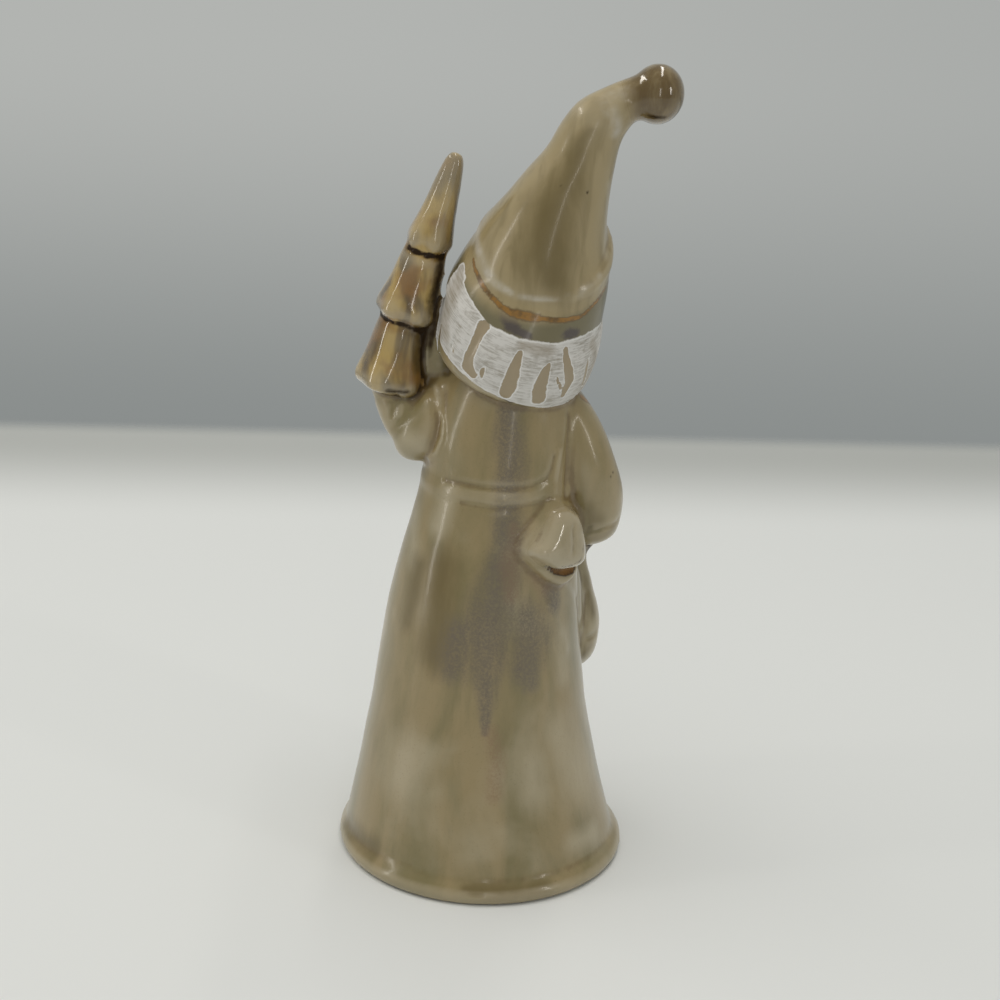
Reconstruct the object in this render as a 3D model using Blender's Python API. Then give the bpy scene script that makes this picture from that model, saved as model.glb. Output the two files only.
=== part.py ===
"""Santa gnome figurine: one hollow slip-cast stoneware piece, 220 mm tall.

The figure faces -Y and stands on Z = 0. Its left side, with the fir tree, is +X.
Every form is a closed solid that sinks into its neighbours. They are joined into one
casting, which is then hollowed from the inside and vented through the base.
"""

import math

import bmesh
import bpy
from mathutils import Matrix, Vector

MM = 0.001

# Robe: heights and half widths of its stations, from the foot up.
FOOT_RADIUS = 39.4
LIP_RADIUS = 40.7
LIP_HEIGHT = 5.0
HEM_RADIUS = 38.2
KNEE_RADIUS = 31.1
HIP_RADIUS = 26.3
WAIST_RADIUS = 21.4
CHEST_RADIUS = 21.2
SHOULDER_RADIUS = 18.6
NECK_RADIUS = 13.0
KNEE_HEIGHT = 39.0
HIP_HEIGHT = 74.0
WAIST_HEIGHT = 109.5
CHEST_HEIGHT = 122.0
SHOULDER_HEIGHT = 133.0
NECK_HEIGHT = 147.0
ROBE_SIDES = 36

# Points nearer than this after the joins are one point, in metres.
WELD_DISTANCE = 0.00001

# Belt, modelled as a low band round the waist.
BELT_WIDTH = 5.0
BELT_PROUD = 0.8

# Casting: wall, base and vent.
WALL = 4.5
BASE_THICKNESS = 4.5
VENT_RADIUS = 1.75
VENT_OFFSET = 14.0

# Head group. It leans back, and towards the right shoulder.
HEAD_HEIGHT = 160.0
HEAD_RADIUS = 17.6
HEAD_SHIFT = -6.0
HAIR_HEIGHT = 150.5
HAIR_RADIUS = 21.4
HAIR_WIDTH = 19.0
HAIR_LOCKS = 14
HAIR_GROOVE = 0.6
HAIR_BACK_LEAN = 22.0
HAIR_SIDE_LEAN = 12.0

# Hat.
RIM_HEIGHT = 169.0
RIM_RADIUS = 18.9
RIM_SHIFT = -10.0
RIM_BACK_LEAN = 35.0
BRIM_ROLL = 2.6
HAT_MIDDLE_RADIUS = 11.8
HAT_BEND_RADIUS = 7.8
HAT_NECK_RADIUS = 5.3
HAT_TIP_HEIGHT = 213.4
HAT_TIP_SHIFT = -37.0
BOBBLE_RADIUS = 7.3

# Sleeves and mittens.
SHOULDER_SLEEVE_RADIUS = 7.2
ELBOW_SLEEVE_RADIUS = 9.6
CUFF_RADIUS = 8.4
CUFF_PROUD = 0.8
CUFF_WIDTH = 4.0
MITTEN_RADIUS = 6.0

# Fir tree: each tier's foot and top radius, and the heights where the tiers start.
TREE_TIERS = ((9.6, 6.0), (8.4, 5.2), (6.2, 2.0))
TREE_HEIGHTS = (134.5, 154.0, 173.0, 196.0)
TREE_SHIFTS = (29.2, 25.4, 20.2, 14.4)
TREE_DEPTH = -3.0
TREE_DROOP = 2.4
TREE_LOBES = 6
TREE_LOBE_DEPTH = 0.11
TRUNK_RADIUS = 2.8
TRUNK_BELOW_TREE = 11.0

# Gift sack in the right hand, and pouch on the belt behind it.
SACK_RADIUS = 11.4
SACK_NECK_RADIUS = 4.2
SACK_LENGTH = 41.0
POUCH_WIDTH = 20.0
POUCH_LENGTH = 24.0
POUCH_ANGLE = 134.0
FLAP_WIDTH = 16.5
FLAP_LENGTH = 17.0
FLAP_PROUD = 5.6

# Face and beard.
BEARD_WIDTH = 31.0
BEARD_LENGTH = 50.0
NOSE_RADIUS = 4.2
CHEEK_RADIUS = 5.0
EYE_SPACING = 11.0
EYE_RADIUS = 1.3

TAN = (0.36, 0.30, 0.20, 1.0)
WHITE = (0.72, 0.70, 0.68, 1.0)
AMBER = (0.22, 0.15, 0.06, 1.0)


def clear_scene():
    """Empties the file of objects and of the collections that this script makes."""
    for obj in list(bpy.data.objects):
        bpy.data.objects.remove(obj)
    for name in ("gnome_figurine", "shapes_to_join"):
        old = bpy.data.collections.get(name)
        if old:
            bpy.data.collections.remove(old)


def make_collection(name):
    made = bpy.data.collections.new(name)
    bpy.context.scene.collection.children.link(made)
    return made


def glaze(name, colour, roughness):
    """A Principled BSDF with the glaze's colour and gloss."""
    made = bpy.data.materials.new(name)
    made.use_nodes = True
    shader = made.node_tree.nodes["Principled BSDF"]
    shader.inputs["Base Color"].default_value = colour
    shader.inputs["Roughness"].default_value = roughness
    shader.inputs["Metallic"].default_value = 0.0
    return made


def curve_through(rows, steps):
    """Rows of numbers interpolated smoothly through the given rows, steps between each pair."""
    made = []
    last = len(rows) - 1
    for i in range(last):
        before, start, end, after = rows[max(i - 1, 0)], rows[i], rows[i + 1], rows[min(i + 2, last)]
        for step in range(steps):
            t = step / steps
            made.append(
                tuple(
                    0.5 * (2 * s + (e - b) * t + (2 * b - 5 * s + 4 * e - a) * t**2 + (3 * s - b - 3 * e + a) * t**3)
                    for b, s, e, a in zip(before, start, end, after)
                )
            )
    made.append(tuple(rows[last]))
    return made


def loft(name, rings, collection, material):
    """A closed solid of triangles through rings of points, all with as many points, with flat ends."""
    mesh = bpy.data.meshes.new(name)
    bm = bmesh.new()
    loops = [[bm.verts.new(Vector(point) * MM) for point in ring] for ring in rings]
    sides = len(loops[0])
    for low, high in zip(loops, loops[1:]):
        for i in range(sides):
            j = (i + 1) % sides
            bm.faces.new((low[i], low[j], high[j], high[i]))
    for loop in (loops[0], loops[-1]):
        middle = bm.verts.new(sum((vert.co for vert in loop), Vector()) / sides)
        for i in range(sides):
            bm.faces.new((loop[i], loop[(i + 1) % sides], middle))
    bmesh.ops.triangulate(bm, faces=bm.faces)
    bm.normal_update()
    bmesh.ops.recalc_face_normals(bm, faces=bm.faces)
    bm.to_mesh(mesh)
    bm.free()
    mesh.materials.append(material)
    made = bpy.data.objects.new(name, mesh)
    collection.objects.link(made)
    return made


def ring(centre, side, depth, sides, flute=None):
    """Points of an ellipse with half axes side and depth. flute(angle) scales the radius."""
    points = []
    for i in range(sides):
        angle = 2 * math.pi * i / sides
        scale = flute(angle) if flute else 1.0
        points.append(centre + (side * math.cos(angle) + depth * math.sin(angle)) * scale)
    return points


def swept(name, nodes, sides, reference, steps, collection, material, flute=None):
    """A limb along a smooth path. Nodes are (x, y, z, half width, half depth); reference sets the turn."""
    rows = curve_through(nodes, steps)
    centres = [Vector(row[:3]) for row in rows]
    rings = []
    for i, row in enumerate(rows):
        along = (centres[min(i + 1, len(rows) - 1)] - centres[max(i - 1, 0)]).normalized()
        side = along.cross(reference).normalized()
        depth = side.cross(along).normalized()
        share = i / (len(rows) - 1)
        shaped = (lambda angle, share=share: flute(angle, share)) if flute else None
        rings.append(ring(centres[i], side * row[3], depth * row[4], sides, shaped))
    return loft(name, rings, collection, material)


def ball(name, centre, radii, collection, material, turn=None, segments=16):
    """An ellipsoid from a UV sphere, with its radii along X, Y and Z before turn."""
    mesh = bpy.data.meshes.new(name)
    bm = bmesh.new()
    bmesh.ops.create_uvsphere(bm, u_segments=segments, v_segments=segments // 2, radius=1.0)
    bmesh.ops.triangulate(bm, faces=bm.faces)
    size = Matrix.Diagonal(Vector(radii) * MM).to_4x4()
    bmesh.ops.transform(bm, matrix=(turn or Matrix.Identity(4)) @ size, verts=bm.verts)
    bm.to_mesh(mesh)
    bm.free()
    mesh.materials.append(material)
    made = bpy.data.objects.new(name, mesh)
    made.location = Vector(centre) * MM
    collection.objects.link(made)
    return made


def robe_stations():
    """(height, half width, half depth, shift along X) from the hem to the neck."""
    return [
        (LIP_HEIGHT + 1.0, HEM_RADIUS, HEM_RADIUS * 1.03, 0.6),
        (KNEE_HEIGHT, KNEE_RADIUS, KNEE_RADIUS * 1.02, 1.9),
        (HIP_HEIGHT, HIP_RADIUS, HIP_RADIUS, 1.8),
        (WAIST_HEIGHT, WAIST_RADIUS, WAIST_RADIUS * 0.98, -1.5),
        (CHEST_HEIGHT, CHEST_RADIUS, CHEST_RADIUS * 0.90, -2.0),
        (SHOULDER_HEIGHT, SHOULDER_RADIUS, SHOULDER_RADIUS * 0.92, -2.8),
        (NECK_HEIGHT, NECK_RADIUS, NECK_RADIUS, -4.2),
    ]


def robe_at(height):
    """Centre, half width and half depth of the robe at a height."""
    rows = curve_through(robe_stations(), 12)
    for low, high in zip(rows, rows[1:]):
        if low[0] <= height <= high[0]:
            t = (height - low[0]) / (high[0] - low[0])
            width, depth, shift = (low[k] + (high[k] - low[k]) * t for k in (1, 2, 3))
            return Vector((shift, 0, height)), width, depth
    raise ValueError(f"the robe has no station at {height}")


def upright_rings(rows, sides):
    """Level rings from (height, half width, half depth, shift) rows."""
    return [ring(Vector((x, 0, z)), Vector((a, 0, 0)), Vector((0, b, 0)), sides) for z, a, b, x in rows]


def build_robe(collection, material):
    """Hem lip, skirt, chest and neck as one loft."""
    lip = [
        (0.0, FOOT_RADIUS, FOOT_RADIUS * 1.03, 0.0),
        (0.8, LIP_RADIUS - 0.3, (LIP_RADIUS - 0.3) * 1.03, 0.0),
        (LIP_HEIGHT * 0.5, LIP_RADIUS, LIP_RADIUS * 1.03, 0.0),
        (LIP_HEIGHT * 0.85, LIP_RADIUS - 0.9, (LIP_RADIUS - 0.9) * 1.03, 0.2),
    ]
    skirt = curve_through(robe_stations(), 2)
    return loft("robe", upright_rings(lip + skirt, ROBE_SIDES), collection, material)


def build_belt(collection, material):
    """A low band with rounded edges round the waist."""
    rows = []
    for share, proud in ((-0.5, -0.6), (-0.34, 0.75), (-0.15, 1.0), (0.15, 1.0), (0.34, 0.75), (0.5, -0.6)):
        centre, width, depth = robe_at(WAIST_HEIGHT + share * BELT_WIDTH)
        rows.append((centre.z, width + proud * BELT_PROUD, depth + proud * BELT_PROUD, centre.x))
    return loft("belt", upright_rings(rows, ROBE_SIDES), collection, material)


def leaning_loft(name, rows, sides, collection, material, flute=None):
    """A loft through leaning rings. Rows are (x, y, z, radius, lean back, lean to the right)."""
    rings = []
    for x, y, z, radius, back, right in rows:
        axis = Vector((-math.sin(math.radians(right)), math.sin(math.radians(back)), 0))
        axis.z = math.sqrt(1 - axis.length_squared)
        side = Vector((0, 1, 0)).cross(axis).normalized()
        rings.append(ring(Vector((x, y, z)), side * radius, axis.cross(side) * radius, sides, flute))
    return loft(name, rings, collection, material)


def head_centre():
    return Vector((HEAD_SHIFT, -1.0, HEAD_HEIGHT))


def rim_centre():
    return Vector((RIM_SHIFT, 2.6, RIM_HEIGHT))


def hair_rows():
    """Leaning rings of the hair band from its lower to its upper edge."""
    half = HAIR_WIDTH / 2
    profile = (
        (-1.04, -4.6),
        (-1.00, -1.9),
        (-0.70, -0.4),
        (0.10, 0.2),
        (0.74, -0.5),
        (1.00, -2.6),
    )
    rows = []
    for share, radius in profile:
        lean_back = HAIR_BACK_LEAN + 4.5 * share
        x = HEAD_SHIFT + 0.9 - 1.9 * share
        z = HAIR_HEIGHT + share * half
        rows.append((x, 0.6 + share, z, HAIR_RADIUS + radius, lean_back, HAIR_SIDE_LEAN))
    return rows


def build_head(collection, material):
    """The head, and the cap that shows between the hat's brim and the hair."""
    lean = Matrix.Rotation(math.radians(-12), 4, "X")
    radii = (HEAD_RADIUS, HEAD_RADIUS * 1.04, HEAD_RADIUS * 1.1)
    skull = ball("head", head_centre(), radii, collection, material, lean, 20)
    x, y, z, radius, back, right = hair_rows()[-2]
    rim = rim_centre()
    rows = [
        (x, y, z - 5.0, radius - 1.2, back, right),
        (x - 0.4, y + 0.2, z + 1.5, radius - 0.4, back + 2.0, right - 1.0),
        (rim.x, rim.y, rim.z, RIM_RADIUS - 1.0, RIM_BACK_LEAN - 1.0, right - 4.0),
        (rim.x - 0.4, rim.y + 1.0, rim.z + 3.0, RIM_RADIUS - 2.4, RIM_BACK_LEAN - 1.0, right - 4.0),
    ]
    return [skull, leaning_loft("cap", rows, 24, collection, material)]


def build_hair(collection, material):
    """The rolled band of hair, carved into locks and drawn in behind the face."""

    def flute(angle):
        lock = abs(math.cos(angle * HAIR_LOCKS / 2 + 0.5 * math.sin(3 * angle)))
        face = max(0.0, math.cos(angle + math.pi / 2)) ** 2
        return 1 - HAIR_GROOVE / HAIR_RADIUS * (1 - lock) * 1.6 - 0.24 * face

    return leaning_loft("hair", hair_rows(), HAIR_LOCKS * 5, collection, material, flute)


def build_hat(collection, material):
    """Hat with a rolled brim, bent over to a bobble."""
    rim = rim_centre()
    back = RIM_BACK_LEAN
    rows = [
        (rim.x + 0.2, rim.y - 0.2, rim.z - 0.6, RIM_RADIUS - 2.0, back, 7.0),
        (rim.x + 0.1, rim.y, rim.z + 0.4, RIM_RADIUS - 0.5, back, 7.0),
        (rim.x, rim.y + 0.4, rim.z + 2.0, RIM_RADIUS, back, 8.0),
        (rim.x - 0.3, rim.y + 0.8, rim.z + 4.2, RIM_RADIUS - 0.4, back - 2.0, 9.0),
        (rim.x - 1.4, rim.y + 1.2, rim.z + 8.0, RIM_RADIUS - 2.4, back - 7.0, 12.0),
        (rim.x - 3.0, rim.y + 1.6, rim.z + 13.0, (RIM_RADIUS + HAT_MIDDLE_RADIUS) / 2 - 1.2, back - 14.0, 17.0),
        (rim.x - 5.4, rim.y + 1.9, rim.z + 19.5, HAT_MIDDLE_RADIUS, back - 20.0, 22.0),
        (rim.x - 8.0, rim.y + 2.0, rim.z + 26.0, HAT_MIDDLE_RADIUS - 2.2, back - 26.0, 26.0),
        (rim.x - 10.6, rim.y + 2.0, rim.z + 32.0, HAT_BEND_RADIUS + 0.5, back - 30.0, 31.0),
        (rim.x - 13.0, rim.y + 1.9, rim.z + 36.6, HAT_BEND_RADIUS - 0.5, back - 33.0, 42.0),
        (rim.x - 16.6, rim.y + 1.7, rim.z + 40.2, HAT_NECK_RADIUS + 0.8, back - 35.0, 57.0),
        (HAT_TIP_SHIFT + 6.6, rim.y + 1.4, HAT_TIP_HEIGHT - 1.8, HAT_NECK_RADIUS, 0.0, 70.0),
        (HAT_TIP_SHIFT + 2.0, rim.y + 1.4, HAT_TIP_HEIGHT - 0.4, HAT_NECK_RADIUS, 0.0, 74.0),
    ]
    cone = leaning_loft("hat", curve_through(rows, 2), 24, collection, material)
    tip = (HAT_TIP_SHIFT, rim.y + 1.4, HAT_TIP_HEIGHT)
    radii = (BOBBLE_RADIUS * 0.97, BOBBLE_RADIUS, BOBBLE_RADIUS * 1.06)
    bobble = ball("bobble", tip, radii, collection, material, None, 18)
    rows = []
    for step in range(7):
        angle = math.pi * (step / 6 - 0.5)
        drop = BRIM_ROLL * math.sin(angle)
        radius = RIM_RADIUS - BRIM_ROLL + 0.4 + BRIM_ROLL * math.cos(angle)
        rows.append((rim.x - 0.4, rim.y + 0.9, rim.z + 4.4 + drop, radius, back + 3.0, 6.0))
    return [cone, bobble, leaning_loft("brim", rows, 24, collection, material)]


def shoulder_point(side):
    """Start of a sleeve inside the chest; side is +1 for the figure's left."""
    return Vector((-2.0 + side * 12.5, 0.0, SHOULDER_HEIGHT))


def build_right_arm(collection, material):
    """Hanging sleeve, forearm turned forwards with its cuff, and the mitten that grips the sack."""
    top = shoulder_point(-1)
    upper, elbow, cuff = SHOULDER_SLEEVE_RADIUS, ELBOW_SLEEVE_RADIUS, CUFF_RADIUS
    nodes = [
        (top.x, top.y, top.z + 1.0, upper - 1.0, upper),
        (top.x - 4.6, 0.8, top.z - 8.0, upper + 0.9, upper + 1.3),
        (top.x - 8.6, 1.2, top.z - 18.0, upper + 1.8, upper + 2.2),
        (top.x - 11.0, 0.4, top.z - 27.5, elbow, elbow),
        (top.x - 11.6, -0.6, top.z - 34.5, elbow * 0.86, elbow * 0.86),
        (top.x - 11.8, -1.2, top.z - 38.6, elbow * 0.5, elbow * 0.5),
    ]
    sleeve = swept("right_sleeve", nodes, 20, Vector((0, 1, 0)), 2, collection, material)
    joint = Vector((top.x - 11.4, 1.0, top.z - 31.0))
    wrist = joint + Vector((0.6, -13.6, -3.4))
    ahead = (wrist - joint).normalized()
    rim = cuff + CUFF_PROUD
    profile = (
        (joint, elbow * 0.8),
        (joint.lerp(wrist, 0.5), elbow - 0.7),
        (wrist - ahead * 0.8, cuff),
        (wrist, rim),
        (wrist + ahead * (CUFF_WIDTH - 0.8), rim),
        (wrist + ahead * CUFF_WIDTH, rim - 0.9),
    )
    nodes = [(*centre, radius, radius) for centre, radius in profile]
    forearm = swept("right_forearm", nodes, 20, Vector((1, 0, 0)), 1, collection, material)
    size = MITTEN_RADIUS
    hand = wrist + Vector((1.4, -5.6, -5.2))
    turn = Matrix.Rotation(math.radians(14), 4, "X")
    mitten = ball("right_mitten", hand, (size, size * 1.05, size * 1.35), collection, material, turn)
    return [sleeve, forearm, mitten], hand


def build_left_arm(collection, material):
    """Folded arm with a drooping sleeve, its mitten raised to the tree's trunk."""
    top = shoulder_point(1)
    upper = SHOULDER_SLEEVE_RADIUS
    nodes = [
        (top.x, top.y, top.z + 0.5, upper - 0.8, upper),
        (top.x + 5.5, 1.6, top.z - 7.0, upper + 0.6, upper + 0.8),
        (top.x + 9.8, 1.6, top.z - 13.0, upper + 0.4, upper + 0.4),
        (top.x + 11.0, 1.2, top.z - 17.4, upper * 0.5, upper * 0.5),
    ]
    sleeve = swept("left_sleeve", nodes, 20, Vector((0, 1, 0)), 3, collection, material)
    elbow = Vector((top.x + 9.0, 1.0, top.z - 13.0))
    hand = Vector((top.x + 18.8, -3.0, top.z - 1.4))
    nodes = [
        (*elbow, upper * 0.9, upper * 0.9),
        (*elbow.lerp(hand, 0.45), upper + 0.5, upper),
        (*hand, upper - 1.6, upper - 1.6),
    ]
    forearm = swept("left_forearm", nodes, 20, Vector((0, 1, 0)), 2, collection, material)
    size = MITTEN_RADIUS - 0.6
    mitten = ball("left_mitten", hand + Vector((0, 0, 1.0)), (size, size * 1.1, size), collection, material)
    return [sleeve, forearm, mitten]


def build_armhole(collection, material):
    """The raised fold that runs down the back beside the left sleeve."""
    top = shoulder_point(1)
    path = (
        (4.2, 9.4, 3.0, 0.7),
        (5.2, 11.4, -4.0, 1.1),
        (4.2, 13.2, -10.0, 1.3),
        (5.6, 12.2, -16.0, 1.1),
        (7.6, 9.4, -20.0, 0.6),
    )
    nodes = [(top.x + x, top.y + y, top.z + z, r, r * 2.2) for x, y, z, r in path]
    return swept("armhole_fold", nodes, 10, Vector((1, 1, 0)), 2, collection, material)


def build_tree(collection, material):
    """Three drooping tiers on a trunk, leaning in towards the hat."""
    line = list(zip(TREE_SHIFTS, (TREE_DEPTH,) * len(TREE_SHIFTS), TREE_HEIGHTS))
    parts = []

    for k, (foot_radius, top_radius) in enumerate(TREE_TIERS):
        low, high = Vector(line[k]), Vector(line[k + 1])
        last = k == len(TREE_TIERS) - 1

        def lobes(angle, share, turn=0.6 + 0.8 * k):
            return 1 + TREE_LOBE_DEPTH * (1 - share) ** 0.7 * math.cos(TREE_LOBES * angle + turn)

        along = (high - low).normalized()
        foot = low - along * TREE_DROOP
        end = high if last else high + along * 1.5
        middle = foot_radius * 0.5 + top_radius * 0.5
        upper = foot_radius * 0.2 + top_radius * 0.8
        tip = top_radius * (0.4 if last else 0.95)
        nodes = [
            (*(foot - along * 0.2), foot_radius * 0.55, foot_radius * 0.55),
            (*(foot + along * 0.4), foot_radius * 0.88, foot_radius * 0.88),
            (*(foot + along * 1.6), foot_radius * 0.99, foot_radius * 0.99),
            (*(foot + along * 3.4), foot_radius, foot_radius),
            (*foot.lerp(end, 0.42), middle, middle),
            (*foot.lerp(end, 0.70), upper, upper),
            (*foot.lerp(end, 0.94), top_radius * 0.9, top_radius * 0.9),
            (*end, tip, tip),
        ]
        sides = TREE_LOBES * 4
        parts.append(swept(f"tier_{k + 1}", nodes, sides, Vector((0, 1, 0)), 1, collection, material, lobes))
    lean = (Vector(line[1]) - Vector(line[0])).normalized()
    foot = Vector(line[0]) - lean * TRUNK_BELOW_TREE
    inside = Vector(line[0]).lerp(Vector(line[1]), 0.5)
    nodes = [(*foot, TRUNK_RADIUS, TRUNK_RADIUS), (*inside, TRUNK_RADIUS, TRUNK_RADIUS)]
    parts.append(swept("trunk", nodes, 16, Vector((0, 1, 0)), 2, collection, material))
    return parts


def build_sack(hand, collection, material):
    """A tied sack that hangs from the right mitten against the robe."""
    neck = SACK_NECK_RADIUS
    path = (
        (0.0, 0.0, 3.0, neck * 0.9),
        (0.3, 0.2, -3.0, neck * 1.4),
        (0.6, 0.4, -7.5, neck * 1.5),
        (1.0, 0.6, -11.0, neck),
        (2.0, 1.0, -17.0, SACK_RADIUS * 0.76),
        (3.0, 1.6, -25.0, SACK_RADIUS * 0.98),
        (3.4, 2.0, -32.0, SACK_RADIUS),
        (3.8, 2.4, -SACK_LENGTH + 2.4, SACK_RADIUS * 0.74),
        (4.0, 2.6, -SACK_LENGTH, SACK_RADIUS * 0.34),
    )
    nodes = [(hand.x + x, hand.y + y, hand.z + z, r, r) for x, y, z, r in path]

    def gathers(angle, share):
        return 1 + 0.05 * math.cos(8 * angle) * (1 - share)

    return swept("sack", nodes, 24, Vector((1, 0, 0)), 1, collection, material, gathers)


def build_pouch(collection, material):
    """A belt pouch with a bulging flap, on the right of the back below the belt."""
    height = WAIST_HEIGHT - POUCH_LENGTH * 0.5
    centre, width, depth = robe_at(height)
    angle = math.radians(POUCH_ANGLE)
    out = Vector((math.cos(angle), math.sin(angle), 0)).normalized()
    across = Vector((-out.y, out.x, 0))
    seat = centre + Vector((width * math.cos(angle), depth * math.sin(angle), 0))
    up = (Vector((0, 0, 1)) - out * 0.12).normalized()
    half, length = POUCH_WIDTH / 2, POUCH_LENGTH

    def slab(name, rows, size, reach):
        """Rows are (share of height, share of half width, thickness, shift towards the arm)."""
        nodes = []
        for v, w, thick, shift in rows:
            point = seat - out * 0.6 - across * shift + up * (v * reach)
            nodes.append((*point, size * w, thick))
        return swept(name, nodes, 18, out, 2, collection, material)

    body = (
        (0.52, 0.20, 1.6, 1.4),
        (0.40, 0.46, 2.6, 1.2),
        (0.10, 0.86, 3.4, 0.3),
        (-0.12, 1.00, 3.8, -0.2),
        (-0.34, 0.82, 3.8, 0.4),
        (-0.52, 0.46, 2.6, 1.4),
        (-0.56, 0.20, 1.4, 1.8),
    )
    flap = (
        (0.50, 0.22, 1.6, 1.6),
        (0.42, 0.44, 3.4, 1.4),
        (0.14, 0.76, FLAP_PROUD * 0.92, 0.6),
        (-0.20, 1.00, FLAP_PROUD, 0.2),
        (-0.40, 0.96, FLAP_PROUD, 0.2),
        (-0.46, 0.80, FLAP_PROUD * 0.7, 0.3),
    )
    return [slab("pouch", body, half, length), slab("pouch_flap", flap, FLAP_WIDTH / 2, FLAP_LENGTH)]


def build_face(collection, glaze_material, slip_material):
    """Nose, cheeks, eyes, moustache and beard on the front of the head."""
    middle = head_centre() + Vector((1.0, -HEAD_RADIUS * 1.04, 1.0))
    nose = middle + Vector((0, -1.4, 0))
    parts = [ball("nose", nose, (NOSE_RADIUS,) * 3, collection, glaze_material, None, 14)]
    for side in (-1, 1):
        out = side * EYE_SPACING / 2
        name = "left" if side > 0 else "right"
        cheek = middle + Vector((out * 1.4, 2.6, -1.0))
        radii = (CHEEK_RADIUS, 4.0, 3.9)
        parts.append(ball(f"{name}_cheek", cheek, radii, collection, glaze_material, None, 12))
        eye = middle + Vector((out, 1.9, 4.8))
        parts.append(ball(f"{name}_eye", eye, (EYE_RADIUS,) * 3, collection, glaze_material, None, 10))
        tilt = Matrix.Rotation(math.radians(side * 24), 4, "Y")
        lip = middle + Vector((out * 0.95, -0.4, -5.4))
        parts.append(ball(f"{name}_moustache", lip, (6.6, 3.4, 2.9), collection, slip_material, tilt, 12))
        brow = middle + Vector((out, 1.7, 8.0))
        arch = Matrix.Rotation(math.radians(side * 10), 4, "Y")
        parts.append(ball(f"{name}_brow", brow, (3.6, 1.9, 1.5), collection, slip_material, arch, 10))
    half = BEARD_WIDTH / 2
    path = (
        (0.00, 0.70, 5.0, 5.0),
        (0.10, 0.98, 8.6, 4.6),
        (0.26, 1.06, 9.6, 4.0),
        (0.50, 0.88, 8.2, 2.6),
        (0.74, 0.60, 6.4, 1.4),
        (0.92, 0.30, 4.2, 0.8),
        (1.00, 0.10, 1.8, 0.6),
    )
    nodes = []
    for share, width, thick, inward in path:
        point = middle + Vector((1.4 * share, inward - 1.0 * share, -4.0 - share * BEARD_LENGTH))
        nodes.append((*point, half * width, thick))

    def strands(angle, share):
        return 1 + 0.045 * math.cos(9 * angle + 3 * share)

    parts.append(swept("beard", nodes, 36, Vector((0, 1, 0)), 2, collection, slip_material, strands))
    return parts


def build_cavity(collection, material):
    """Cutters for the cast hollow: robe and neck, then head and lower hat."""
    rows = [
        (z, a - WALL, b - WALL, x)
        for z, a, b, x in robe_stations()
        if z > BASE_THICKNESS + 2.0 and a - WALL > 1.0
    ]
    first = rows[0]
    rows.insert(0, (BASE_THICKNESS, first[1] - 1.5, first[2] - 1.5, first[3]))
    body = loft("robe_hollow", upright_rings(rows, 20), collection, material)
    base = rim_centre()
    inner = RIM_RADIUS - WALL
    nodes = [
        (-4.2, 0.0, NECK_HEIGHT - 6.0, NECK_RADIUS - WALL, NECK_RADIUS - WALL),
        (-5.2, 0.0, HAIR_HEIGHT + 2.0, inner * 0.86, inner * 0.86),
        (HEAD_SHIFT - 1.6, 0.4, HEAD_HEIGHT + 2.0, inner * 0.98, inner * 0.98),
        (base.x - 0.6, base.y, base.z + 4.0, inner * 0.92, inner * 0.92),
        (base.x - 1.8, base.y + 1.2, base.z + 11.5, inner * 0.62, inner * 0.62),
        (base.x - 3.4, base.y + 1.8, base.z + 18.0, inner * 0.30, inner * 0.30),
    ]
    head = swept("head_hollow", nodes, 20, Vector((0, 1, 0)), 1, collection, material)
    return [body, head]


def build_vent(collection, material):
    """The vent hole's cutter, through the base behind the centre."""
    mesh = bpy.data.meshes.new("vent")
    bm = bmesh.new()
    bmesh.ops.create_cone(
        bm,
        cap_ends=True,
        segments=16,
        radius1=VENT_RADIUS * MM,
        radius2=VENT_RADIUS * MM,
        depth=BASE_THICKNESS * 3 * MM,
    )
    bm.to_mesh(mesh)
    bm.free()
    mesh.materials.append(material)
    made = bpy.data.objects.new("vent", mesh)
    made.location = Vector((0, VENT_OFFSET, 0)) * MM
    collection.objects.link(made)
    return made


def as_guide(obj):
    """Hides a shape that only joins or cuts."""
    obj.hide_render = True
    obj.display_type = "WIRE"


def combine(body, obj, operation):
    modifier = body.modifiers.new(obj.name, "BOOLEAN")
    modifier.object = obj
    modifier.operation = operation
    modifier.material_mode = "TRANSFER"
    as_guide(obj)


def main():
    clear_scene()
    shown = make_collection("gnome_figurine")
    guides = make_collection("shapes_to_join")
    tan = glaze("tan_glaze", TAN, 0.2)
    white = glaze("white_slip", WHITE, 0.6)
    amber = glaze("amber_glaze", AMBER, 0.15)

    figure = build_robe(shown, tan)
    figure.name = "gnome_figure"
    right_arm, right_hand = build_right_arm(guides, tan)
    joined = [build_belt(guides, tan), *build_head(guides, tan), *build_hat(guides, tan)]
    joined += [*right_arm, *build_left_arm(guides, tan), build_armhole(guides, tan)]
    joined += [*build_tree(guides, amber), build_sack(right_hand, guides, tan)]
    joined += [*build_pouch(guides, tan), build_hair(guides, white), *build_face(guides, tan, white)]
    for obj in joined:
        combine(figure, obj, "UNION")
    for obj in [*build_cavity(guides, tan), build_vent(guides, tan)]:
        combine(figure, obj, "DIFFERENCE")
    weld = figure.modifiers.new("weld", "WELD")
    weld.merge_threshold = WELD_DISTANCE
    figure.data.shade_smooth()


main()
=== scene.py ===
"""Santa gnome figurine in glazed stoneware, seen from behind on a pale table.

The figure stands on Z = 0, faces -Y and carries its fir tree on the +X side. Lengths are in
millimetres in the sizes below, and in metres in the file. Each form is drawn up from rings as
by hand. The forms are then fused, smoothed like a filled casting, tooled and glazed.
"""

import logging
import math
from dataclasses import dataclass, field
from enum import Enum
from typing import Sequence

import bmesh
import bpy
import numpy as np
from mathutils import Euler, Matrix, Quaternion, Vector, noise
from mathutils.bvhtree import BVHTree


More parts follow.
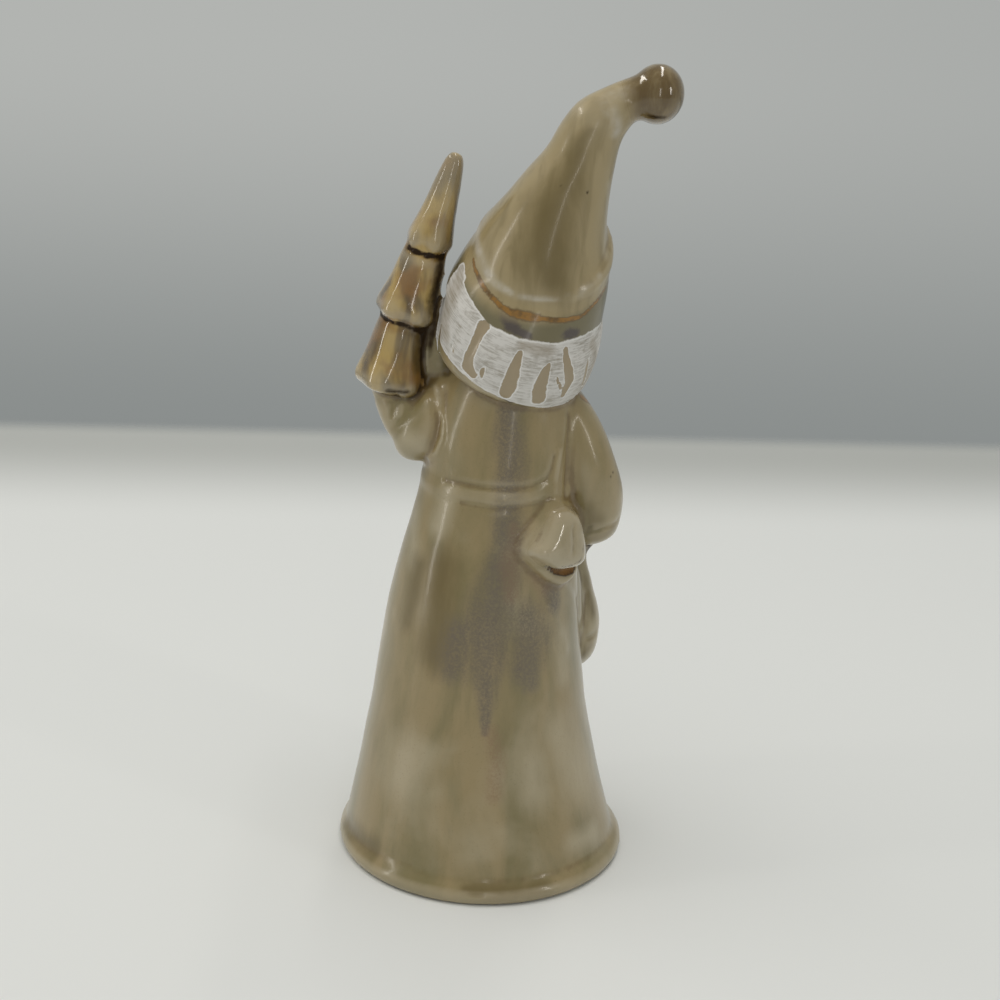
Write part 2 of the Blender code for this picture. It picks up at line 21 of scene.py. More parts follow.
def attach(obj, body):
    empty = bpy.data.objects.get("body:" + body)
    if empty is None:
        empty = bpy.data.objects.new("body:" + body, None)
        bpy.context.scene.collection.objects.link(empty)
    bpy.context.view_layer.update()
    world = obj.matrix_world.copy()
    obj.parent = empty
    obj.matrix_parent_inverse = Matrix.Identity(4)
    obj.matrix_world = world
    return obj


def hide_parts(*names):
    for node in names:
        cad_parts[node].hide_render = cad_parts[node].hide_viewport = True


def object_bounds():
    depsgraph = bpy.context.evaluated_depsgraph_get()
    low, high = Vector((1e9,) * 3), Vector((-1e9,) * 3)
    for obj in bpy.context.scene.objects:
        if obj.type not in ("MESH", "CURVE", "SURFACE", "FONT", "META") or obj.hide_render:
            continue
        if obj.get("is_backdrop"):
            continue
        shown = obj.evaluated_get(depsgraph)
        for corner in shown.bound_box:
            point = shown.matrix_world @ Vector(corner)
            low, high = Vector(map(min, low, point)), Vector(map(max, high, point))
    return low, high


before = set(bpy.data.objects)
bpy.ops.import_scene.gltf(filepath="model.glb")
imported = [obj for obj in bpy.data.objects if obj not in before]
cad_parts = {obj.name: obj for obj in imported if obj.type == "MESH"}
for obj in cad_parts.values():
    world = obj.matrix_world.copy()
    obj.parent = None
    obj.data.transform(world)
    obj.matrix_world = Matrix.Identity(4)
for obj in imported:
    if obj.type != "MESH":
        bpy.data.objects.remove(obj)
CAD_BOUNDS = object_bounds()

MM = 0.001
UP = Vector((0.0, 0.0, 1.0))

logging.basicConfig(level=logging.INFO, format="%(message)s")
log = logging.getLogger("gnome")


class Region(Enum):
    """Forms that are glazed differently."""

    ROBE = 0
    HAT = 1
    SLIP = 2
    TREE = 3
    SKIN = 4
    FLAP = 5
    SACK = 6
    BELT = 7


@dataclass(frozen=True)
class Ring:
    """One ring of a form.

    Args:
        centre: Middle of the ring in millimetres.
        width: Half axis across the reference direction.
        depth: Half axis along the reference direction.
        axis: Direction that the ring faces.
        reference: Direction of the depth axis, before it is squared to the axis.
    """

    centre: Vector
    width: float
    depth: float
    axis: Vector = field(default_factory=lambda: UP.copy())
    reference: Vector = field(default_factory=lambda: Vector((0.0, 1.0, 0.0)))

    def turn(self) -> Euler:
        """Rotation that brings a flat circle onto the ring.

        Returns:
            The rotation as Euler angles.
        """
        side = self.reference.cross(self.axis).normalized()
        depth = self.axis.normalized().cross(side)
        frame_of_ring = Matrix((side, depth, self.axis.normalized())).transposed()
        return frame_of_ring.to_euler()


def between(rows: Sequence[Sequence[float]], steps: int) -> list[tuple[float, ...]]:
    """Draws smooth rows through the given rows of numbers.

    Args:
        rows: The rows to pass through.
        steps: How many rows each span is given.

    Returns:
        The rows with the new ones between them.
    """
    made = []
    last = len(rows) - 1
    for i in range(last):
        before, start, end, after = rows[max(i - 1, 0)], rows[i], rows[i + 1], rows[min(i + 2, last)]
        for step in range(steps):
            t = step / steps
            made.append(
                tuple(
                    s + 0.5 * t * (e - b + t * (2 * b - 5 * s + 4 * e - a + t * (3 * s - b - 3 * e + a)))
                    for b, s, e, a in zip(before, start, end, after)
                )
            )
    made.append(tuple(rows[last]))
    return made


def limb(nodes: Sequence[Sequence[float]], reference: Vector, steps: int = 2) -> list[Ring]:
    """Rings square to a smooth path.

    Args:
        nodes: Rows of x, y, z, half width and half depth.
        reference: Direction of the depth axis.
        steps: Rings in each span.

    Returns:
        The rings from the first node to the last.
    """
    rows = between(nodes, steps)
    centres = [Vector(row[:3]) for row in rows]
    last = len(rows) - 1
    rings = []
    for i, row in enumerate(rows):
        axis = centres[min(i + 1, last)] - centres[max(i - 1, 0)]
        rings.append(Ring(centres[i], row[3], row[4], axis.normalized(), reference))
    return rings


def leaning(rows: Sequence[Sequence[float]]) -> list[Ring]:
    """Round rings that lean back and to the right.

    Args:
        rows: Rows of x, y, z, radius, lean back and lean to the right in degrees.

    Returns:
        The rings in the order of the rows.
    """
    rings = []
    for x, y, z, radius, back, right in rows:
        axis = Vector((-math.sin(math.radians(right)), math.sin(math.radians(back)), 0.0))
        axis.z = math.sqrt(1.0 - axis.length_squared)
        rings.append(Ring(Vector((x, y, z)), radius, radius, axis))
    return rings


def stack(name: str, rings: Sequence[Ring], sides: int = 32) -> bpy.types.Object:
    """Draws a closed form by adding circles and bridging each to the one before.

    Args:
        name: Name of the form.
        rings: Its rings, end to end.
        sides: Points in each ring.

    Returns:
        The form, with its origin at the world's.
    """
    bpy.ops.object.select_all(action="DESELECT")
    for i, ring in enumerate(rings):
        turn = ring.turn()
        bpy.ops.mesh.primitive_circle_add(
            vertices=sides,
            radius=ring.width * MM,
            location=ring.centre * MM,
            rotation=turn,
        )
        if i == 0:
            form = bpy.context.object
            form.name = name
            bpy.ops.object.mode_set(mode="EDIT")
        bpy.ops.transform.resize(
            value=(1.0, ring.depth / ring.width, 1.0),
            orient_type="GLOBAL",
            orient_matrix=turn.to_matrix(),
            orient_matrix_type="GLOBAL",
            center_override=ring.centre * MM,
        )
        if i == 0:
            continue
        drawn = bmesh.from_edit_mesh(form.data)
        drawn.verts.ensure_lookup_table()
        for vert in drawn.verts[(i - 1) * sides :]:
            vert.select_set(True)
        drawn.select_flush(True)
        bpy.ops.mesh.bridge_edge_loops()
    bpy.ops.mesh.select_all(action="SELECT")
    bpy.ops.mesh.fill_holes(sides=0)
    bpy.ops.mesh.select_all(action="SELECT")
    bpy.ops.mesh.normals_make_consistent(inside=False)
    bpy.ops.object.mode_set(mode="OBJECT")
    bpy.ops.object.transform_apply(location=True, rotation=True, scale=True)
    return form


def ball(name: str, centre: Vector, radii: Sequence[float], turn: Euler | None = None) -> bpy.types.Object:
    """Adds an egg-shaped form.

    Args:
        name: Name of the form.
        centre: Its middle in millimetres.
        radii: Half axes along its own X, Y and Z.
        turn: Its rotation.

    Returns:
        The form, with its origin at the world's.
    """
    bpy.ops.object.select_all(action="DESELECT")
    bpy.ops.mesh.primitive_uv_sphere_add(
        segments=32,
        ring_count=16,
        radius=MM,
        location=Vector(centre) * MM,
        rotation=turn or Euler((0.0, 0.0, 0.0)),
        scale=tuple(radii),
    )
    form = bpy.context.object
    form.name = name
    bpy.ops.object.transform_apply(location=True, rotation=True, scale=True)
    return form


def points_of(form: bpy.types.Object) -> np.ndarray:
    """The form's points in millimetres.

    Args:
        form: A mesh object.

    Returns:
        An array of shape (points, 3).
    """
    flat = np.empty(len(form.data.vertices) * 3)
    form.data.vertices.foreach_get("co", flat)
    return flat.reshape(-1, 3) / MM


def set_points(form: bpy.types.Object, points: np.ndarray) -> None:
    """Moves the form's points.

    Args:
        form: A mesh object.
        points: The new places in millimetres.
    """
    form.data.vertices.foreach_set("co", (points * MM).astype(np.float32).ravel())
    form.data.update()


def mark(form: bpy.types.Object, region: Region) -> bpy.types.Object:
    """Notes on every face which region the form belongs to.

    Args:
        form: A mesh object.
        region: Its region.

    Returns:
        The same object.
    """
    layer = form.data.attributes.new("region", "INT", "FACE")
    layer.data.foreach_set("value", np.full(len(form.data.polygons), region.value, np.int32))
    log.info("%s: %d faces, %s", form.name, len(form.data.polygons), region.name.lower())
    return form


@dataclass
class Robe:
    """The long robe from its hem to the neck, with the belt round the waist."""

    foot_radius: float = 39.4
    lip_radius: float = 40.7
    lip_height: float = 5.0
    waist_height: float = 109.5
    belt_width: float = 5.0
    belt_proud: float = 0.35
    stations: tuple[tuple[float, ...], ...] = (
        (6.0, 38.2, 39.3, 0.6),
        (39.0, 31.1, 31.7, 1.9),
        (74.0, 26.3, 26.3, 1.8),
        (109.5, 21.4, 21.0, -1.5),
        (122.0, 21.2, 19.1, -2.0),
        (133.0, 18.6, 17.1, -2.8),
        (147.0, 13.0, 13.0, -4.2),
    )

    def at(self, height: float) -> tuple[Vector, float, float]:
        """Looks up the robe's section.

        Args:
            height: Height above the table.

        Returns:
            Its centre, half width and half depth.
        """
        rows = np.array(between(self.stations, 12))
        width, depth, shift = (np.interp(height, rows[:, 0], rows[:, k]) for k in (1, 2, 3))
        return Vector((shift, 0.0, height)), float(width), float(depth)

    def build(self) -> list[bpy.types.Object]:
        """Draws the robe with its hem lip, and the belt.

        Returns:
            The forms.
        """
        lip = [
            (0.0, self.foot_radius, self.foot_radius * 1.03, 0.0),
            (0.8, self.lip_radius - 0.3, self.lip_radius * 1.02, 0.0),
            (self.lip_height * 0.5, self.lip_radius, self.lip_radius * 1.03, 0.0),
            (self.lip_height * 0.85, self.lip_radius - 0.9, self.lip_radius * 1.01, 0.2),
        ]
        rows = [*lip, *between(self.stations, 5)]
        rings = [Ring(Vector((x, 0.0, z)), width, depth) for z, width, depth, x in rows]
        belt = []
        for share, proud in ((-0.5, -0.9), (-0.34, 0.5), (-0.15, 0.8), (0.15, 0.8), (0.34, 0.5), (0.5, -0.9)):
            centre, width, depth = self.at(self.waist_height + share * self.belt_width)
            belt.append(Ring(centre, width + proud * self.belt_proud, depth + proud * self.belt_proud))
        return [
            mark(stack("robe", rings, 96), Region.ROBE),
            mark(stack("belt", belt, 96), Region.BELT),
        ]


@dataclass
class Head:
    """Head, hair band, face and beard. The head leans back and to the right."""

    centre: Vector = field(default_factory=lambda: Vector((-6.0, -1.0, 160.0)))
    radius: float = 17.6
    hair_height: float = 150.5
    hair_radius: float = 21.4
    hair_width: float = 19.0
    back_lean: float = 22.0
    side_lean: float = 12.0
    beard_length: float = 50.0
    beard_width: float = 31.0
    eye_spacing: float = 11.0
    face_inset: float = 0.24

    def hair_rows(self) -> list[tuple[float, ...]]:
        """Rings of the hair band.

        Returns:
            Rows of x, y, z, radius and the two leans, from the lower edge up.
        """
        half = self.hair_width / 2
        profile = ((-1.04, -4.6), (-1.0, -1.9), (-0.7, -0.4), (0.1, 0.2), (0.74, -0.5), (1.0, -2.6))
        rows = []
        for share, radius in profile:
            x = self.centre.x + 0.9 - 1.9 * share
            z = self.hair_height + share * half
            lean = self.back_lean + 4.5 * share
            rows.append((x, 0.6 + share, z, self.hair_radius + radius, lean, self.side_lean))
        return rows

    def build(self) -> list[bpy.types.Object]:
        """Draws the head group.

        Returns:
            The forms.
        """
        turn = Euler((math.radians(-12), 0.0, 0.0))
        skull = ball("head", self.centre, (self.radius, self.radius * 1.04, self.radius * 1.1), turn)
        x, y, z, radius, back, right = self.hair_rows()[-2]
        rim = Hat().rim
        cap_rows = [
            (x + 0.4, y, z - 5.0, radius - 1.0, back, right - 2.0),
            (x + 0.6, y + 0.2, z + 1.5, radius + 0.2, back + 2.0, right - 4.0),
            (rim.x + 1.4, rim.y, rim.z, Hat().rim_radius + 0.2, 34.0, right - 8.0),
            (rim.x + 0.8, rim.y + 1.0, rim.z + 3.0, Hat().rim_radius - 1.6, 34.0, right - 8.0),
        ]
        cap = stack("cap", leaning(between(cap_rows, 3)), 72)
        hair = stack("hair", leaning(between(self.hair_rows(), 3)), 120)
        self._draw_in_behind_face(hair)
        forms = [mark(skull, Region.SKIN), mark(cap, Region.HAT), mark(hair, Region.SLIP)]
        return [*forms, *self._face()]

    def _draw_in_behind_face(self, hair: bpy.types.Object) -> None:
        """Pulls the front of the hair band in, so that the face stands clear of it.

        Args:
            hair: The hair band.
        """
        points = points_of(hair)
        flat = points[:, :2] - np.array([self.centre.x, 0.6])
        front = np.clip(-flat[:, 1] / np.linalg.norm(flat, axis=1).clip(1e-6), 0.0, 1.0) ** 2
        points[:, :2] -= flat * (self.face_inset * front)[:, None]
        set_points(hair, points)

    def _face(self) -> list[bpy.types.Object]:
        """Draws a plain gnome face: nose, cheeks, eyes, brows, moustache and beard.

        Returns:
            The forms.
        """
        middle = self.centre + Vector((1.0, -self.radius * 1.04, 1.0))
        forms = [mark(ball("nose", middle + Vector((0, -1.4, 0)), (4.2, 4.2, 4.2)), Region.SKIN)]
        for side, name in ((-1, "right"), (1, "left")):
            out = side * self.eye_spacing / 2
            cheek = ball(f"{name}_cheek", middle + Vector((out * 1.4, 2.6, -1.0)), (5.0, 4.0, 3.9))
            eye = ball(f"{name}_eye", middle + Vector((out, 1.9, 4.8)), (1.3, 1.3, 1.3))
            tilt = Euler((0.0, math.radians(side * 24), 0.0))
            lip = ball(f"{name}_moustache", middle + Vector((out * 0.95, -0.4, -5.4)), (6.6, 3.4, 2.9), tilt)
            arch = Euler((0.0, math.radians(side * 10), 0.0))
            brow = ball(f"{name}_brow", middle + Vector((out, 1.7, 8.0)), (3.6, 1.9, 1.5), arch)
            forms += [mark(cheek, Region.SKIN), mark(eye, Region.SKIN)]
            forms += [mark(lip, Region.SLIP), mark(brow, Region.SLIP)]
        half = self.beard_width / 2
        path = (
            (0.00, 0.70, 5.0, 5.0),
            (0.10, 0.98, 8.6, 4.6),
            (0.26, 1.06, 9.6, 4.0),
            (0.50, 0.88, 8.2, 2.6),
            (0.74, 0.60, 6.4, 1.4),
            (0.92, 0.30, 4.2, 0.8),
            (1.00, 0.10, 1.8, 0.6),
        )
        nodes = []
        for share, width, thick, inward in path:
            place = middle + Vector((1.4 * share, inward - share, -4.0 - share * self.beard_length))
            nodes.append((*place, half * width, thick))
        beard = stack("beard", limb(nodes, Vector((0.0, 1.0, 0.0)), 4), 64)
        return [*forms, mark(beard, Region.SLIP)]


@dataclass
class Hat:
    """Long hat with a rolled brim, bent over to a bobble."""

    rim: Vector = field(default_factory=lambda: Vector((-10.0, 2.6, 169.0)))
    rim_radius: float = 18.9
    back_lean: float = 35.0
    roll: float = 2.6
    middle_radius: float = 11.8
    bend_radius: float = 7.8
    neck_radius: float = 5.3
    tip: Vector = field(default_factory=lambda: Vector((-37.0, 4.0, 214.0)))
    bobble_radius: float = 7.3

    def build(self) -> list[bpy.types.Object]:
        """Draws the hat.

        Returns:
            The forms.
        """
        rim, back, radius = self.rim, self.back_lean, self.rim_radius
        rise, bend = self.tip.z - rim.z, self.tip.x - rim.x
        halfway = (radius + self.middle_radius) / 2 - 1.2
        rows = [
            (rim.x + 0.2, rim.y - 0.2, rim.z - 0.6, radius - 2.0, back, 2.0),
            (rim.x + 0.2, rim.y, rim.z + 0.4, radius - 0.9, back, 2.0),
            (rim.x + 0.2, rim.y + 0.4, rim.z + 2.0, radius - 0.6, back, 3.0),
            (rim.x, rim.y + 0.8, rim.z + 4.2, radius - 1.0, back - 2.0, 5.0),
        ]
        curve = (
            (0.03, 1.2, 0.18, radius - 2.6, back - 7.0, 9.0),
            (0.10, 1.6, 0.293, halfway, back - 14.0, 15.0),
            (0.20, 1.9, 0.44, self.middle_radius, back - 20.0, 22.0),
            (0.30, 2.0, 0.585, self.middle_radius - 2.2, back - 26.0, 26.0),
            (0.38, 2.0, 0.72, self.bend_radius + 0.8, back - 30.0, 31.0),
            (0.475, 1.9, 0.83, self.bend_radius - 0.1, back - 33.0, 42.0),
            (0.615, 1.7, 0.905, self.neck_radius + 1.0, back - 35.0, 57.0),
            (0.756, 1.4, 0.962, self.neck_radius + 0.3, 0.0, 70.0),
            (0.926, 1.4, 0.99, self.neck_radius + 1.1, 0.0, 74.0),
        )
        for across, behind, up, *rest in curve:
            rows.append((rim.x + bend * across, rim.y + behind, rim.z + rise * up, *rest))
        cone = stack("hat", leaning(between(rows, 4)), 72)
        size = self.bobble_radius
        bobble = ball("bobble", self.tip, (size * 0.97, size, size * 1.06))
        rows = []
        for step in range(9):
            angle = math.pi * (step / 8 - 0.5)
            out = radius - self.roll + 0.4 + self.roll * math.cos(angle)
            height = rim.z + 4.4 + self.roll * math.sin(angle)
            rows.append((rim.x - 0.2, rim.y + 0.9, height, out - 0.8, back + 3.0, 1.0))
        brim = stack("brim", leaning(rows), 72)
        return [mark(cone, Region.HAT), mark(bobble, Region.HAT), mark(brim, Region.HAT)]


@dataclass
class Arms:
    """Both sleeves with their mittens."""

    shoulder_height: float = 133.0
    sleeve: float = 7.2
    elbow: float = 9.6
    cuff: float = 8.4
    cuff_width: float = 4.0
    cuff_proud: float = 0.8
    mitten: float = 6.0

    def top(self, side: int) -> Vector:
        """Start of a sleeve inside the chest.

        Args:
            side: +1 for the figure's left and -1 for its right.

        Returns:
            The point.
        """
        return Vector((-2.0 + side * 12.5, 0.0, self.shoulder_height))

    def joint(self) -> Vector:
        """The right elbow."""
        return self.top(-1) + Vector((-11.4, 1.0, -31.0))

    def hand(self) -> Vector:
        """Middle of the right mitten."""
        return self.joint() + Vector((0.6, -13.6, -3.4)) + Vector((1.4, -5.6, -5.2))

    def build(self) -> list[bpy.types.Object]:
        """Draws both arms.

        Returns:
            The forms.
        """
        return [*self._right(), *self._left()]

    def _right(self) -> list[bpy.types.Object]:
        """Draws the hanging sleeve, the forearm with its cuff, and the mitten.

        Returns:
            The forms.
        """
        top, upper, elbow, cuff = self.top(-1), self.sleeve, self.elbow, self.cuff
        nodes = [
            (top.x, top.y, top.z + 1.0, upper - 1.0, upper),
            (top.x - 4.6, 0.8, top.z - 8.0, upper + 0.9, upper + 1.3),
            (top.x - 8.6, 1.2, top.z - 18.0, upper + 1.8, upper + 2.2),
            (top.x - 11.0, 0.4, top.z - 27.5, elbow, elbow),
            (top.x - 11.4, -0.2, top.z - 34.5, elbow * 0.92, elbow * 0.92),
            (top.x - 11.2, -0.8, top.z - 38.4, elbow * 0.76, elbow * 0.76),
            (top.x - 11.2, -1.2, top.z - 40.6, elbow * 0.48, elbow * 0.48),
        ]
        sleeve = stack("right_sleeve", limb(nodes, Vector((0.0, 1.0, 0.0)), 5), 48)
        joint = self.joint()
        wrist = joint + Vector((0.6, -13.6, -3.4))
        ahead = (wrist - joint).normalized()
        rim = cuff + self.cuff_proud
        profile = (
            (joint, elbow * 0.8),
            (joint.lerp(wrist, 0.5), elbow - 0.7),
            (wrist - ahead * 0.8, cuff),
            (wrist, rim),
            (wrist + ahead * (self.cuff_width - 0.8), rim),
            (wrist + ahead * self.cuff_width, rim - 0.9),
        )
        nodes = [(*centre, radius, radius) for centre, radius in profile]
        forearm = stack("right_forearm", limb(nodes, Vector((1.0, 0.0, 0.0)), 1), 48)
        size = self.mitten
        mitten = ball("right_mitten", self.hand(), (size, size * 1.05, size * 1.35), Euler((0.24, 0.0, 0.0)))
        return [mark(form, Region.ROBE) for form in (sleeve, forearm, mitten)]

    def _left(self) -> list[bpy.types.Object]:
        """Draws the folded sleeve with its raised mitten, and the shoulder behind the tree.

        Returns:
            The forms.
        """
        top, upper = self.top(1), self.sleeve
        nodes = [
            (top.x, top.y, top.z + 0.5, upper - 0.8, upper),
            (top.x + 5.5, 1.6, top.z - 7.0, upper + 0.6, upper + 0.8),
            (top.x + 10.4, 1.6, top.z - 13.6, upper + 0.5, upper + 0.5),
            (top.x + 10.9, 1.2, top.z - 18.6, upper * 0.56, upper * 0.56),
        ]
        sleeve = stack("left_sleeve", limb(nodes, Vector((0.0, 1.0, 0.0)), 5), 48)
        elbow = Vector((top.x + 9.0, 1.0, top.z - 13.0))
        hand = Vector((top.x + 18.8, -3.0, top.z - 1.4))
        nodes = [
            (*elbow, upper * 0.9, upper * 0.9),
            (*elbow.lerp(hand, 0.45), upper + 0.5, upper),
            (*hand, upper - 1.6, upper - 1.6),
        ]
        forearm = stack("left_forearm", limb(nodes, Vector((0.0, 1.0, 0.0)), 4), 48)
        size = self.mitten - 0.6
        mitten = ball("left_mitten", hand + Vector((0.0, 0.0, 1.0)), (size, size * 1.1, size))
        shoulder = ball("raised_shoulder", Vector((16.6, -2.4, 144.0)), (4.6, 4.6, 13.0))
        return [mark(form, Region.ROBE) for form in (sleeve, forearm, mitten, shoulder)]


@dataclass
class FirTree:
    """Three drooping tiers on a trunk, held in the left arm."""

    tiers: tuple[tuple[float, float], ...] = ((9.7, 6.4), (8.5, 5.4), (6.2, 2.7))
    heights: tuple[float, ...] = (134.5, 154.0, 173.0, 196.0)
    shifts: tuple[float, ...] = (29.2, 25.4, 20.0, 13.4)
    depth: float = -3.0
    droop: float = 2.4
    lobes: int = 5
    lobe_depth: float = 0.07
    trunk: float = 2.4
    trunk_below: float = 6.0

    def build(self) -> list[bpy.types.Object]:
        """Draws the tiers and the trunk.

        Returns:
            The forms.
        """
        line = [Vector((x, self.depth, z)) for x, z in zip(self.shifts, self.heights)]
        forms = []
        for k, (foot_radius, top_radius) in enumerate(self.tiers):
            low, high = line[k], line[k + 1]
            last = k == len(self.tiers) - 1
            along = (high - low).normalized()
            foot = low - along * self.droop
            end = high if last else high + along * 1.5
            tip = top_radius * (0.55 if last else 0.95)
            profile = (
                (foot - along * 0.2, foot_radius * 0.55),
                (foot + along * 0.4, foot_radius * 0.88),
                (foot + along * 1.6, foot_radius * 0.99),
                (foot + along * 3.4, foot_radius),
                (foot.lerp(end, 0.42), foot_radius * 0.55 + top_radius * 0.45),
                (foot.lerp(end, 0.70), foot_radius * 0.27 + top_radius * 0.73),
                (foot.lerp(end, 0.92), top_radius * 0.96),
                (end, tip),
            )
            nodes = [(*centre, radius, radius) for centre, radius in profile]
            tier = stack(f"tier_{k + 1}", limb(nodes, Vector((0.0, 1.0, 0.0)), 3), 48)
            self._lobe(tier, foot, end, 0.6 + 0.8 * k)
            forms.append(mark(tier, Region.TREE))
        lean = (line[1] - line[0]).normalized()
        ends = (line[0] - lean * self.trunk_below, line[0].lerp(line[1], 0.5))
        nodes = [(*end, self.trunk, self.trunk) for end in ends]
        forms.append(mark(stack("trunk", limb(nodes, Vector((0.0, 1.0, 0.0)), 4), 24), Region.TREE))
        return forms

    def _lobe(self, tier: bpy.types.Object, foot: Vector, end: Vector, turn: float) -> None:
        """Pulls the foot of a tier out into branches.

        Args:
            tier: The tier.
            foot: Lower end of its axis.
            end: Upper end of its axis.
            turn: Where its branches start, in radians.
        """
        points = points_of(tier)
        axis = np.array((end - foot).normalized())
        side = np.cross([0.0, 1.0, 0.0], axis)
        side /= np.linalg.norm(side)
        depth = np.cross(axis, side)
        offset = points - np.array(foot)
        height = offset @ axis
        across = offset - height[:, None] * axis
        angle = np.arctan2(across @ depth, across @ side)
        share = np.clip(height / (end - foot).length, 0.0, 1.0)
        swell = self.lobe_depth * np.exp(-share / 0.3) * np.cos(self.lobes * angle + turn)
        set_points(tier, points + across * swell[:, None])


@dataclass
class Sack:
    """A tied sack that hangs from the right mitten against the robe."""

    hand: Vector
    radius: float = 11.4
    neck: float = 4.2
    length: float = 44.5

    def build(self) -> list[bpy.types.Object]:
        """Draws the sack.

        Returns:
            The form.
        """
        path = (
            (0.0, 0.0, 3.0, self.neck * 0.9),
            (0.3, 0.2, -3.0, self.neck * 1.4),
            (0.6, 0.4, -7.5, self.neck * 1.5),
            (1.0, 0.6, -11.0, self.neck),
            (2.6, 1.0, -17.0, self.radius * 0.64),
            (3.4, 1.6, -23.0, self.radius * 0.82),
            (3.4, 2.0, -29.5, self.radius * 0.96),
            (3.4, 2.6, -34.0, self.radius * 0.98),
            (4.0, 3.4, -self.length + 4.6, self.radius * 0.90),
            (5.6, 4.6, -self.length, self.radius * 0.44),
        )
        nodes = [(self.hand.x + x, self.hand.y + y, self.hand.z + z, r, r) for x, y, z, r in path]
        sack = mark(stack("sack", limb(nodes, Vector((1.0, 0.0, 0.0)), 4), 48), Region.SACK)
        middle = self.hand + Vector((1.0, 11.0, -27.0))
        back = ball("sack_back", middle, (3.4, 8.0, 16.0), Euler((0.1, 0.0, 0.0)))
        return [sack, mark(back, Region.SACK)]


@dataclass
class Pouch:
    """A belt pouch with a bulging flap, on the right of the back."""

    robe: Robe
    length: float = 24.0
    angle: float = 134.0
    lean: float = 0.12
    follow: float = 0.016
    rim_layers: tuple[tuple[float, float], ...] = (
        (1.06, -3.0), (1.01, 0.2), (0.96, 1.5), (0.86, 2.1), (0.6, 1.6),
    )
    flap_layers: tuple[tuple[float, float], ...] = (
        (1.0, 0.2), (1.0, 3.2), (0.94, 4.6), (0.74, 5.9), (0.4, 6.5),
    )
    flat_height: float = 6.0
    rim: tuple[tuple[float, float], ...] = (
        (-2.4, 10.6), (-7.4, 5.2), (-10.6, 0.6), (-10.2, -3.2), (-6.4, -8.0), (-1.5, -11.7),
        (3.4, -13.0), (8.0, -10.6), (9.6, -5.0), (10.2, 1.4), (8.6, 6.4), (4.0, 10.6),
    )
    flap: tuple[tuple[float, float], ...] = (
        (-1.6, 8.6), (2.2, 8.8), (5.8, 7.2), (7.6, 2.4), (8.2, -2.4), (7.8, -6.4),
        (4.8, -7.6), (-2.4, -6.8), (-5.8, -5.2), (-10.0, -1.2), (-7.2, 2.0), (-4.2, 6.0),
    )

    def axes(self) -> tuple[Vector, Vector, Vector, Vector]:
        """Where the pouch sits.

        Returns:
            Its seat on the robe, and its directions out, across and up.
        """
        centre, width, depth = self.robe.at(self.robe.waist_height - self.length / 2)
        turn = math.radians(self.angle)
        out = Vector((math.cos(turn), math.sin(turn), 0.0))
        across = Vector((-out.y, out.x, 0.0))
        seat = centre + Vector((width * math.cos(turn), depth * math.sin(turn), 0.0))
        return seat, out, across, (UP - out * self.lean).normalized()

    def build(self) -> list[bpy.types.Object]:
        """Draws the pouch and its flap.

        Returns:
            The forms.
        """
        return [
            self._pad("pouch", Region.ROBE, self.rim, self.rim_layers),
            self._pad("pouch_flap", Region.FLAP, self.flap, self.flap_layers),
        ]

    def _pad(
        self,
        name: str,
        region: Region,
        outline: Sequence[Sequence[float]],
        layers: Sequence[Sequence[float]],
    ) -> bpy.types.Object:
        """Draws one pad of the pouch from its outline.

        Args:
            name: Name of the form.
            region: Its region.
            outline: Its corners, across and up from the seat.
            layers: The outline's scale and its height above the robe, from the robe out.

        Returns:
            The form.
        """
        seat, out, across, up = self.axes()
        corners = np.array(between([*outline, outline[0]], 5)[:-1])
        middle = corners.mean(axis=0)
        rings = [Ring(seat + out * height, scale, scale, out, UP) for scale, height in layers]
        form = stack(name, rings, len(corners))
        points = points_of(form)
        for k, (scale, height) in enumerate(layers):
            flat = middle + (corners - middle) * scale
            rise = height - self.follow * flat[:, :1] ** 2 * max(0.0, 1.0 - height / self.flat_height)
            raised = np.array(seat) + rise * np.array(out)
            rows = raised + flat[:, :1] * np.array(across) + flat[:, 1:] * np.array(up)
            points[k * len(corners) : (k + 1) * len(corners)] = rows
        set_points(form, points)
        bpy.ops.object.mode_set(mode="EDIT")
        bpy.ops.mesh.select_all(action="SELECT")
        bpy.ops.mesh.normals_make_consistent(inside=False)
        bpy.ops.object.mode_set(mode="OBJECT")
        return mark(form, region)


